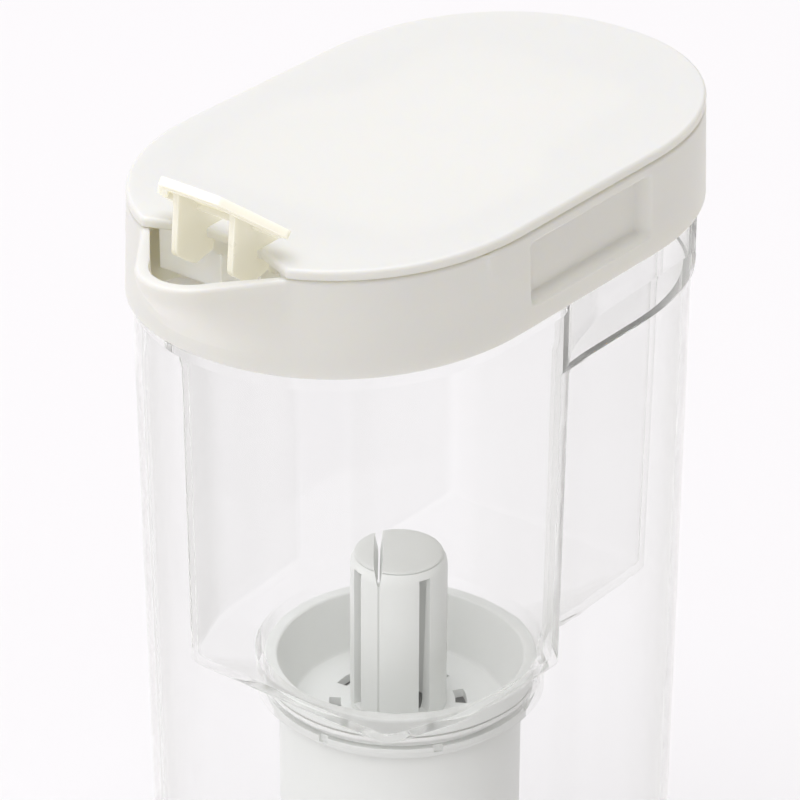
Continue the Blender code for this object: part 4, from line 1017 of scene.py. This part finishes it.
def make_jug():
    """Clear vessel: recessed foot, leaning nose, grip pockets and a low neck."""
    jug = sizes("jug")
    plan = oval()
    z_pocket = Z_COLLAR - jug.pocket_height
    z_shoulder = Z_NECK - jug.neck_height - FIT
    z_floor = Z_FOOT + jug.foot_recess + jug.floor
    rim = jug.foot_inset + jug.foot_radius + jug.foot_rim
    wall = jug.wall

    def ring(inset, z, **places):
        return jug_ring(plan, inset, z, **places)

    rings = [(ring(rim, Z_FOOT, below_band=True), Z_FOOT + jug.foot_recess),
             (ring(rim - jug.foot_recess, Z_FOOT, below_band=True), Z_FOOT)]
    for across, up in quarter():
        inset = jug.foot_inset + jug.foot_radius * across
        rings.append((ring(inset, Z_FOOT, below_band=True), Z_FOOT + jug.foot_radius * up))
    rings += [(ring(jug.body_inset, z_pocket, below_band=True), z_pocket - jug.pocket_lip - jug.band_inset),
              (ring(jug.band_inset, z_pocket), z_pocket - jug.pocket_lip),
              (ring(jug.band_inset, z_pocket), z_pocket),
              (ring(jug.band_inset, z_pocket, pocket=True), z_pocket),
              (ring(jug.band_inset, z_shoulder, pocket=True), z_shoulder),
              (ring(jug.neck_inset, z_shoulder, pocket=True), z_shoulder),
              (ring(jug.neck_inset, Z_NECK, pocket=True), Z_NECK),
              (ring(jug.neck_inset, Z_NECK, pocket=True, inward=wall), Z_NECK),
              (ring(jug.neck_inset, z_shoulder, pocket=True, inward=wall), z_shoulder - wall),
              (ring(jug.band_inset, z_pocket, pocket=True, inward=wall), z_shoulder - 2 * wall),
              (ring(jug.band_inset, z_pocket, pocket=True, inward=wall), z_pocket - wall),
              (ring(jug.body_inset, z_pocket, inward=wall, below_band=True), z_pocket - wall),
              (ring(jug.foot_inset, Z_FOOT, inward=wall, below_band=True), z_floor + jug.foot_radius)]
    for up, across in quarter()[1:]:
        inset = jug.foot_inset + jug.foot_radius * across
        rings.append((ring(inset, Z_FOOT, inward=wall, below_band=True), z_floor + jug.foot_radius * up))
    vessel = solid("jug_shell", loft(rings, capped=True))
    soften(vessel, jug.edge)
    vessel.visible_shadow = False
    dress(vessel, finish("jug_clear"), "jug", "clear_plastic", "jug")


def reservoir_outline(grow=0.0):
    """The reservoir's plan: flat front, sides that follow the jug, and a narrow rear lobe."""
    tank = sizes("reservoir")
    corners = [(tank.rear, 0, 0), (tank.rear, tank.lobe_half, tank.rear_radius),
               (tank.step, tank.lobe_half, tank.corner), (tank.wide, tank.wide_half, tank.corner),
               (tank.shoulder, tank.shoulder_half, tank.shoulder_radius),
               (tank.front, tank.front_half, tank.front_radius), (tank.front, 0, 0)]
    return offset(mirrored(rounded_path(corners)), grow)


def radial(outline, directions):
    """Where rays from the cartridge's axis, at the given angles, meet an outline."""
    start = outline - np.array([CARTRIDGE_X, 0])
    edge = np.roll(start, -1, 0) - start
    way = np.column_stack([np.cos(directions), np.sin(directions)])
    spread = way[:, :1] * edge[:, 1] - way[:, 1:] * edge[:, 0]
    spread[np.abs(spread) < NEAR_ZERO] = NEAR_ZERO
    far = (start[:, 0] * edge[:, 1] - start[:, 1] * edge[:, 0]) / spread
    along = (start[:, 0] * way[:, 1:] - start[:, 1] * way[:, :1]) / spread
    met = (far > 0) & (along > -MERGE) & (along < 1 + MERGE)
    reach = np.where(met, far, 0).max(axis=1)
    return np.array([CARTRIDGE_X, 0]) + way * reach[:, None]


def close_directions(outline):
    """The outline's own corner directions, with even ones between them, sorted and well apart."""
    corners = np.arctan2(outline[:, 1], outline[:, 0] - CARTRIDGE_X)
    even = np.linspace(-math.pi, math.pi, ROUND_STEPS + 1)[:-1]
    clearance = math.tau / ROUND_STEPS / CLEAR_PARTS
    clear = [angle for angle in even if np.abs(corners - angle).min() > clearance]
    return np.sort(np.concatenate([corners, clear]))


def make_collar():
    """White rim: beak spout, finger recesses, ledge for the reservoir and the pouring opening."""
    collar = sizes("collar")
    plan = oval()
    jug = sizes("jug")
    ledge = Z_COLLAR + collar.skirt
    ledge_top = ledge + collar.ledge
    top = Z_COLLAR_TOP - collar.recess_drop
    foot = top - collar.recess_height
    bands = [np.linspace(top, top - collar.recess_corner, RAMP_STEPS),
             np.linspace(top - collar.recess_corner, foot + collar.recess_corner, SIDE_STEPS)[1:-1],
             np.linspace(foot + collar.recess_corner, foot, RAMP_STEPS)]
    levels = [z for band in bands for z in band]
    rings = []
    for across, down in quarter(RAMP_STEPS):
        z = Z_COLLAR_TOP - collar.rim * down
        rings.append((offset(collar_ring(plan, z, 0), -collar.rim * across), z))
    rings += [(collar_ring(plan, z, 0), z) for z in levels]
    for up, across in quarter(RAMP_STEPS):
        z = Z_COLLAR + collar.hem * up
        rings.append((offset(collar_ring(plan, z, 0), -collar.hem * across), z))
    neck = jug_ring(plan, jug.neck_inset, Z_COLLAR, pocket=True, inward=-LOOSE_FIT)
    way = np.arctan2(plan[:, 1], plan[:, 0] - CARTRIDGE_X)
    hole = radial(reservoir_outline(-collar.wall), way)
    rings += [(neck, Z_COLLAR), (neck, ledge), (hole, ledge), (hole, ledge_top)]
    inside = [ledge_top] + [z for z in levels[::-1] if z > ledge_top + FIT]
    rings += [(collar_ring(plan, z, collar.wall), z) for z in inside]
    for down, across in quarter(RAMP_STEPS)[:-1]:
        z = Z_COLLAR_TOP - collar.bead * down
        rings.append((offset(collar_ring(plan, z, collar.wall), collar.bead * across), z))
    white = solid("collar_shell", loft(rings))
    pour = mirrored(rounded_path([(collar.pour_rear, 0, 0),
                                  (collar.pour_rear, collar.pour_rear_half, collar.pour_radius),
                                  (collar.pour_front, collar.pour_front_half, collar.pour_radius),
                                  (collar.pour_front, 0, 0)]))
    below, above = ledge - OVERRUN, ledge_top + OVERRUN
    combine(white, solid("reservoir_opening", prism(reservoir_outline(LOOSE_FIT), below, above)))
    combine(white, solid("pour_opening", prism(pour, below, above)))
    guard_high = Z_COLLAR_TOP - collar.guard_top
    guard = solid("collar_guard", block((collar.guard, -collar.guard_half, ledge_top - FIT),
                                        (collar.guard + collar.guard_thick, collar.guard_half, guard_high)))
    for side in (-1, 1):
        near, far = sorted((side * collar.rib_place, side * (collar.rib_place - collar.rib_thick)))
        rib = block((collar.rib_front, near, ledge_top + collar.ledge),
                    (collar.guard + collar.guard_thick / 2, far, guard_high - FIT))
        combine(guard, solid("guard_rib", rib), "UNION")
    soften(guard, FIT)
    dress(guard, finish("moulded_white"), "collar", "white_plastic")
    dress(white, finish("moulded_white"), "collar", "white_plastic", "collar")


def make_reservoir():
    """Clear hopper that hangs by its flange, with a round socket in its floor."""
    tank = sizes("reservoir")
    cup = sizes("cartridge")
    way = close_directions(reservoir_outline())
    flange = Z_RES_RIM - tank.rim_rise - tank.flange_thick
    jog = flange - tank.jog_drop
    low = Z_SOCKET + tank.lip + tank.socket_depth
    under = -tank.jog - tank.taper
    bore = cup.rim + LOOSE_FIT

    def wall(grow):
        return radial(reservoir_outline(grow), way)

    def round_wall(radius):
        return np.column_stack([CARTRIDGE_X + radius * np.cos(way), radius * np.sin(way)])

    def clear_of_socket(ring):
        offsets = ring - np.array([CARTRIDGE_X, 0])
        reach = np.linalg.norm(offsets, axis=1)[:, None]
        return np.array([CARTRIDGE_X, 0]) + offsets * np.maximum((bore + tank.socket_wall + FIT) / reach, 1)

    rings = [(wall(0), Z_RES_RIM), (wall(0), flange + tank.flange_thick),
             (wall(tank.flange), flange + tank.flange_thick), (wall(tank.flange), flange),
             (wall(0), flange), (wall(0), jog), (wall(-tank.jog), jog - tank.jog_height)]
    for up, across in quarter():
        rings.append((clear_of_socket(wall(under - tank.floor_radius * across)),
                      low + tank.floor_radius * up))
    throat = low - tank.funnel
    outside = round_wall(bore + tank.socket_wall)
    mouth = round_wall(cup.rim - cup.seat)
    rings += [(outside, throat), (outside, Z_SOCKET), (mouth, Z_SOCKET), (mouth, Z_SOCKET + tank.lip),
              (round_wall(bore), Z_SOCKET + tank.lip), (round_wall(bore), throat + tank.wall),
              (wall(under - tank.wall - tank.floor_radius / 2), low + tank.wall),
              (wall(under - tank.wall), low + tank.wall + tank.floor_radius / 2),
              (wall(-tank.jog - tank.wall), jog - tank.jog_height),
              (wall(-tank.wall), jog), (wall(-tank.wall), Z_RES_RIM)]
    clear = solid("reservoir_shell", loft(rings))
    clear.visible_shadow = False
    dress(clear, finish("reservoir_clear"), "reservoir", "clear_plastic", "reservoir")


def dress_cartridge(target, node):
    dress(target, finish("moulded_grey"), "cartridge", "grey_plastic", node)


def make_cup():
    """Funnel of the cartridge, with water slots round the post in its floor."""
    cup = sizes("cartridge")
    seat = Z_CUP_RIM - cup.rim_height
    floor = Z_CUP_RIM - cup.depth
    under = floor - cup.floor_thick
    shank = Z_SOCKET - FIT
    spigot = cup.rim - cup.body - cup.wall - FIT
    hole = cup.post - cup.post_wall + FIT
    profile = [(cup.rim, seat), (cup.rim, Z_CUP_RIM), (cup.rim - cup.rim_wall, Z_CUP_RIM),
               (cup.rim - cup.floor, floor), (hole, floor), (hole, under), (spigot, under),
               (spigot, Z_SHELL_TOP + FIT), (cup.rim - cup.lock, Z_SHELL_TOP + FIT),
               (cup.rim - cup.lock, shank), (cup.rim - cup.shank, shank), (cup.rim - cup.shank, seat)]
    bowl = solid("cartridge_cup_shell", turned(profile))
    soften(bowl, cup.rim_wall / BOWL_EDGE_PARTS)

    def slot():
        half = math.pi / cup.slots * cup.slot_share
        angles = np.linspace(-half, half, CORNER_STEPS)
        ring = [(CARTRIDGE_X + r * math.cos(a), r * math.sin(a))
                for r, order in ((cup.slot_outer, angles), (cup.slot_inner, angles[::-1])) for a in order]
        return prism(np.array(ring), under - OVERRUN, floor + OVERRUN)

    combine(bowl, solid("cup_slots", ring_of(cup.slots, slot)))
    dress_cartridge(bowl, "cartridge_cup")


def make_post():
    """Hollow slotted column, and the domed cap with the slit across it."""
    cup = sizes("cartridge")
    inner = cup.post - cup.post_wall
    foot = Z_CUP_RIM - cup.depth + FIT
    brow = cup.post - cup.brow
    column = [(cup.post, foot)]
    for k in range(CORNER_STEPS + 1):
        angle = math.pi / 2 * k / CORNER_STEPS / 2
        drawn_in = (1 - math.cos(angle)) / (1 - EIGHTH_TURN_SINE)
        column.append((cup.post - cup.brow * drawn_in,
                       Z_POST_TOP - cup.brow_height * (1 - math.sin(angle) / EIGHTH_TURN_SINE)))
    column += [(inner, Z_POST_TOP),
              (inner - cup.post_wall, foot), (inner - cup.post_wall, Z_POST_FOOT),
              (inner, Z_POST_FOOT), (inner, foot)]
    post = solid("cartridge_post_shell", turned(column))

    def groove():
        return block((CARTRIDGE_X + cup.post - 2 * cup.post_wall, -cup.groove / 2, foot + cup.post_wall),
                     (CARTRIDGE_X + cup.post + OVERRUN, cup.groove / 2, Z_POST_TOP - cup.post_wall))

    combine(post, solid("post_grooves", about_axis(ring_of(cup.grooves, groove), cup.groove_turn)))
    plug_low = low_z("post_cap")
    shoulder = Z_POST_TOP + FIT
    crown = Z_CAP_TOP - cup.crown_drop
    plug = inner - LOOSE_FIT
    cap_profile = [(0, crown)]
    for k in range(1, DETAIL_STEPS + 1):
        angle = math.pi / 2 * k / DETAIL_STEPS
        cap_profile.append((brow * math.sin(angle) ** cup.dome_fullness,
                            crown - (crown - shoulder) * (1 - math.cos(angle))))
    cap_profile += [(plug, shoulder), (plug - cup.post_wall / 2, plug_low), (0, plug_low)]
    cap = solid("post_cap_shell", turned(cap_profile))
    reach = cup.post + OVERRUN

    def slit(low, high, low_width, high_width, front=-reach, rear=reach):
        """A cut along the slit's direction, beside the axis, that may widen upward."""
        rings = [(np.array([(front, -w / 2), (rear, -w / 2), (rear, w / 2), (front, w / 2)])
                  + np.array([CARTRIDGE_X, cup.slit_aside]), z)
                 for w, z in ((low_width, low), (high_width, high))]
        return about_axis(loft(rings, capped=True), cup.slit_turn)

    high = crown + OVERRUN
    low = shoulder - cup.slit_depth
    for target in (post, cap):
        combine(target, solid("slit", slit(low, high, cup.slit, cup.slit_mouth)))
    combine(post, solid("slit_rear", slit(low - cup.post, high, cup.slit_mouth, cup.slit_mouth, front=0)))
    seam = cup.slit_seam
    combine(post, solid("slit_seam", slit(foot + cup.post_wall, low + FIT, seam, seam,
                                          rear=-cup.post + cup.post_wall)))
    for target, width, node in ((post, FIT, "cartridge_post"), (cap, LOOSE_FIT, "post_cap")):
        soften(target, width)
        dress_cartridge(target, node)


def make_cartridge_body():
    """Plain round body below the socket, with the notched lock ring above it."""
    cup = sizes("cartridge")
    radius = cup.rim - cup.body
    inner = radius - cup.wall
    profile = [(radius, Z_SHELL_LOW), (radius, Z_SHELL_TOP), (inner, Z_SHELL_TOP), (inner, Z_SHELL_LOW)]
    shell = solid("cartridge_body_shell", turned(profile))
    soften(shell, LOOSE_FIT)
    dress_cartridge(shell, "cartridge_body")
    outer = cup.rim - cup.ring
    bore = cup.rim - cup.lock + FIT
    depth = cup.notch_depth
    profile = [(bore, Z_RING_LOW), (outer - depth, Z_RING_LOW), (outer, Z_RING_LOW + 2 * depth),
               (outer, Z_RING_TOP), (bore, Z_RING_TOP)]
    ring = solid("lock_ring_shell", turned(profile))

    def notch():
        low = Z_RING_LOW + cup.notch_height
        return block((CARTRIDGE_X + outer - depth, -cup.notch_width / 2, low),
                     (CARTRIDGE_X + outer + OVERRUN, cup.notch_width / 2, low + cup.notch_height))

    combine(ring, solid("lock_notches", about_axis(ring_of(cup.notches, notch), cup.notch_turn)))
    soften(ring, FIT / 2)
    dress_cartridge(ring, "lock_ring")


def make_lid_plate():
    """Flat lid with the notch for the spout cover and two slots for its arms."""
    lid = sizes("lid")
    plan = oval()
    beyond = lid.corner_half + 2 * lid.edge
    rim = plan[(plan[:, 1] >= 0) & ~((plan[:, 0] < 0) & (plan[:, 1] < beyond))]
    slot_out = lid.arm_half + lid.arm_thick / 2 + lid.arm_gap
    slot_in = lid.arm_half - lid.arm_thick / 2 - lid.arm_gap
    nose = rounded_path([tuple(rim[-1]) + (0,), (lid.corner, lid.corner_half, lid.corner_round),
                         (lid.inner, lid.inner_half, lid.round), (lid.inner, slot_out, 0),
                         (lid.slot_rear, slot_out, 0), (lid.slot_rear, slot_in, 0),
                         (lid.tab, slot_in, lid.round), (lid.tab, 0, 0)])
    outline = mirrored(np.vstack([rim, nose[1:]]))
    rings = [(offset(outline, -lid.hem), Z_LID_UNDER), (outline, Z_LID_UNDER + lid.hem)]
    rings += [(offset(outline, -lid.edge * across), Z_LID - lid.edge * down) for down, across in quarter()]
    plate = solid("lid_plate_shell", loft(rings, capped=True))
    dress(plate, finish("moulded_white"), "lid", "white_plastic", "lid_plate")


def arm(y):
    """One fin of the cover: a plate that narrows to an eye round the pin."""
    cover = sizes("cover")
    lid = sizes("lid")
    top = Z_LID - Z_PIN - cover.thick * cover.skin / 2
    eye = [(cover.eye * math.cos(a), cover.eye * math.sin(a))
           for a in np.linspace(EYE_START, math.pi / 2, DETAIL_STEPS // 2)]
    side = rounded_path([(cover.arm_front, top, 0), (cover.toe, -cover.toe_drop, cover.arm_round),
                         (cover.heel, -cover.heel_drop, cover.arm_round), eye[0] + (0,)])
    outline = np.vstack([side, eye[1:], [(cover.base - lid.hinge - cover.rim_inset, top)]])
    return laid_over(prism(outline, -lid.arm_thick / 2, lid.arm_thick / 2), y)


def make_spout_cover():
    """Milky cover with two fins, modelled closed and then turned open about its pin."""
    cover = sizes("cover")
    lid = sizes("lid")
    under = Z_LID - cover.thick
    corners = [(cover.base, 0, 0), (cover.base, cover.chamfer_half, cover.corner),
               (cover.base - cover.chamfer, cover.base_half, cover.corner),
               (cover.tip, cover.tip_half, cover.corner), (cover.tip, 0, 0)]
    outline = mirrored(rounded_path(corners))
    inset = mirrored(rounded_path(shrunk(corners, cover.rim_inset)))
    hollow = mirrored(rounded_path(shrunk(corners, cover.rim_inset + cover.rim_wall)))
    low = under - cover.rim_drop
    rings = [(outline, Z_LID), (outline, under), (inset, under), (inset, low), (hollow, low),
             (hollow, Z_LID - cover.thick * cover.skin)]
    flap = solid("spout_cover_shell", loft(rings, capped=True))
    for side in (-1, 1):
        combine(flap, solid("arm", arm(side * lid.arm_half)), "UNION")
    combine(flap, solid("eye_bore", rod(cover.pin + FIT / 2, 2 * lid.arm_half)))
    soften(flap, cover.edge)
    hinge = Matrix.Translation((PLAN_X + lid.hinge, 0, Z_PIN))
    flap.data.transform(hinge @ Matrix.Rotation(cover.open, 4, "Y") @ hinge.inverted())
    dress(flap, finish("moulded_milky"), "spout_cover", "milky_plastic", "spout_cover")


class PieceOperator:
    """What every operator of the pitcher shares."""

    bl_options = {"REGISTER", "UNDO"}


class PITCHER_OT_jug(PieceOperator, bpy.types.Operator):
    """Build the clear jug"""
    bl_idname = "pitcher.jug"
    bl_label = "Jug"

    def execute(self, context):
        make_jug()
        return {"FINISHED"}


class PITCHER_OT_collar(PieceOperator, bpy.types.Operator):
    """Build the white collar with its spout"""
    bl_idname = "pitcher.collar"
    bl_label = "Collar"

    def execute(self, context):
        make_collar()
        return {"FINISHED"}


class PITCHER_OT_reservoir(PieceOperator, bpy.types.Operator):
    """Build the clear reservoir with its socket"""
    bl_idname = "pitcher.reservoir"
    bl_label = "Reservoir"

    def execute(self, context):
        make_reservoir()
        return {"FINISHED"}


class PITCHER_OT_cartridge(PieceOperator, bpy.types.Operator):
    """Build the cartridge's cup, post, cap, lock ring and body"""
    bl_idname = "pitcher.cartridge"
    bl_label = "Cartridge"

    def execute(self, context):
        make_cup()
        make_post()
        make_cartridge_body()
        return {"FINISHED"}


class PITCHER_OT_lid(PieceOperator, bpy.types.Operator):
    """Build the lid's plate and finish its frame"""
    bl_idname = "pitcher.lid"
    bl_label = "Lid"

    def execute(self, context):
        make_lid_plate()
        finish_node("lid_frame", finish("moulded_white"))
        round_edges(NODES["lid_frame"], LOOSE_FIT)
        return {"FINISHED"}


class PITCHER_OT_cover(PieceOperator, bpy.types.Operator):
    """Build the tilting spout cover"""
    bl_idname = "pitcher.cover"
    bl_label = "Spout cover"

    def execute(self, context):
        make_spout_cover()
        return {"FINISHED"}


INNER_PIECES = (("collar_seal", "silicone_rubber", "silicone"),
                ("lid_seal", "silicone_rubber", "silicone"),
                ("cartridge_seal", "silicone_rubber", "silicone"),
                ("cover_pin", "drawn_steel", "steel"),
                ("inlet_mesh", "woven_steel", "steel"),
                ("felt_pad", "needle_felt", "felt"),
                ("carbon_bed", "carbon_granules", "carbon"),
                ("separator_disc", "moulded_white", "white_plastic"),
                ("fibre_bundle", "hollow_fibres", "fibre"),
                ("potting_disc", "cast_resin", "resin"),
                ("outlet_cap", "moulded_grey", "grey_plastic"))


class PITCHER_OT_inner_pieces(PieceOperator, bpy.types.Operator):
    """Finish the seals, the pin and the layers inside the cartridge"""
    bl_idname = "pitcher.inner_pieces"
    bl_label = "Inner pieces"

    def execute(self, context):
        for node, material, slot in INNER_PIECES:
            finish_node(node, finish(material))
        return {"FINISHED"}


# The photograph's viewpoint, the floor, the surroundings and the lights
CAMERA_AZIMUTH = math.radians(-51.964)
CAMERA_ELEVATION = math.radians(28.239)
CAMERA_ROLL = math.radians(0.249)
CAMERA_DISTANCE = 0.95978
CAMERA_ACROSS = 0.004956
CAMERA_UP = 0.063944
CAMERA_LENS_MM = 180
SENSOR_MM = 36
FLOOR_RADIUS = 6.0
FLOOR_POINTS = 96
SHADED_PIECES = ("cartridge", "post_cap", "lock_ring", "outlet_cap", "spout_cover", "collar_guard",
                 "inlet_mesh", "cover_pin")
BRIGHT_SIDE = (-0.80, 0.55, 0.24)
BRIGHT_TINT = (0.88, 0.86, 0.86)
DIM_TINT = (0.10, 0.085, 0.045)
# Lights: name, place, size in metres, watts
TOP_LIGHT = ("top_light", (0.2, 0.4, 4.0), 4.0, 112)
TOP_TINT = (0.98, 0.99, 1.06)
FILL_LIGHTS = (("fill_light", (-0.60, -0.15, 1.30), 1.2, 14.0),
               ("low_fill_light", (-1.10, -0.55, 0.30), 1.0, 2.2))
FILL_TINT = (1.0, 1.0, 1.03)


def make_camera():
    """The photograph's viewpoint, measured from the middle of the lid's top."""
    azimuth, elevation = CAMERA_AZIMUTH, CAMERA_ELEVATION
    back = Vector((math.sin(azimuth) * math.cos(elevation), -math.cos(azimuth) * math.cos(elevation),
                   math.sin(elevation)))
    level = Vector((math.cos(azimuth), math.sin(azimuth), 0))
    upright = back.cross(level)
    across = level * math.cos(CAMERA_ROLL) + upright * math.sin(CAMERA_ROLL)
    up = upright * math.cos(CAMERA_ROLL) - level * math.sin(CAMERA_ROLL)
    place = back * CAMERA_DISTANCE - across * CAMERA_ACROSS - up * CAMERA_UP
    data = bpy.data.cameras.new("photo_camera")
    data.lens = CAMERA_LENS_MM
    data.sensor_width = SENSOR_MM
    camera = placed("photo_camera", data)
    turned_frame = Matrix((across, up, back)).transposed().to_4x4()
    camera.matrix_world = Matrix.Translation(Vector((PLAN_X, 0, Z_LID)) + place) @ turned_frame
    bpy.context.scene.camera = camera


def make_light(name, place, size, watts, colour):
    """A square soft light that looks at the pitcher's middle."""
    data = bpy.data.lights.new(name, "AREA")
    data.shape = "SQUARE"
    data.size = size
    data.energy = watts
    data.color = colour
    lamp = placed(name, data)
    aim = Vector((0, 0, Z_LID / 2)) - Vector(place)
    lamp.matrix_world = Matrix.Translation(place) @ aim.to_track_quat("-Z", "Y").to_matrix().to_4x4()
    return lamp


def make_fill_lights():
    """Soft light for the pieces under the lid, which the real lid and walls let light through to."""
    shaded = bpy.data.collections.new("under_the_lid")
    for piece in bpy.context.scene.objects:
        if piece.type == "MESH" and piece.name.startswith(SHADED_PIECES):
            shaded.objects.link(piece)
    for light in FILL_LIGHTS:
        lamp = make_light(*light, FILL_TINT)
        lamp.light_linking.receiver_collection = shaded
        lamp.light_linking.blocker_collection = shaded


def make_floor():
    """A wide matt disc under the pitcher."""
    body = bmesh.new()
    body.faces.new([body.verts.new((x, y, 0)) for x, y in circle(FLOOR_RADIUS, FLOOR_POINTS)])
    floor = placed("floor", as_mesh("floor", body))
    floor.location.z = Z_FOOT
    floor.data.materials.append(finish("floor_paper"))


def make_world():
    """Warm surroundings that are brighter on one side."""
    world = bpy.data.worlds.new("studio")
    world.use_nodes = True
    wiring = Wiring(world.node_tree)
    places = wiring.node("ShaderNodeTexCoord").outputs["Generated"]
    facing = wiring.node("ShaderNodeVectorMath", {"operation": "DOT_PRODUCT"}, {0: places, 1: BRIGHT_SIDE})
    spread = wiring.node("ShaderNodeMapRange", None, {"Value": facing.outputs["Value"], "From Min": -1})
    colour = wiring.blended(spread.outputs["Result"], DIM_TINT, BRIGHT_TINT)
    wiring.feed(wiring.tree.nodes["Background"].inputs["Color"], colour)
    bpy.context.scene.world = world


class PITCHER_OT_stage(PieceOperator, bpy.types.Operator):
    """Set up the camera, the floor and the soft studio light, once the pieces are there"""
    bl_idname = "pitcher.stage"
    bl_label = "Stage"

    def execute(self, context):
        make_camera()
        make_floor()
        make_world()
        make_light(*TOP_LIGHT, TOP_TINT)
        make_fill_lights()
        context.scene.view_settings.view_transform = "Standard"
        return {"FINISHED"}


OPERATORS = (PITCHER_OT_jug, PITCHER_OT_collar, PITCHER_OT_reservoir, PITCHER_OT_cartridge,
             PITCHER_OT_lid, PITCHER_OT_cover, PITCHER_OT_inner_pieces, PITCHER_OT_stage)


class PITCHER_PT_panel(bpy.types.Panel):
    """Lists the pitcher's pieces and their sizes"""
    bl_idname = "PITCHER_PT_panel"
    bl_label = "Water Filter Pitcher"
    bl_space_type = "VIEW_3D"
    bl_region_type = "UI"
    bl_category = "Pitcher"

    def draw(self, context):
        for operator in OPERATORS:
            self.layout.operator(operator.bl_idname)
        for name, group in GROUPS.items():
            box = self.layout.box()
            box.label(text=name.replace("_", " ").capitalize())
            for key in group.__annotations__:
                box.prop(getattr(context.scene, name), key)


def register():
    for made in (*GROUPS.values(), *OPERATORS, PITCHER_PT_panel):
        bpy.utils.register_class(made)
    for name, group in GROUPS.items():
        setattr(bpy.types.Scene, name, bpy.props.PointerProperty(type=group))


def unregister():
    for name in GROUPS:
        delattr(bpy.types.Scene, name)
    for made in (PITCHER_PT_panel, *reversed(OPERATORS), *reversed(GROUPS.values())):
        bpy.utils.unregister_class(made)


def main():
    register()
    for operator in OPERATORS:
        group, name = operator.bl_idname.split(".")
        getattr(getattr(bpy.ops, group), name)()


if __name__ == "__main__":
    main()
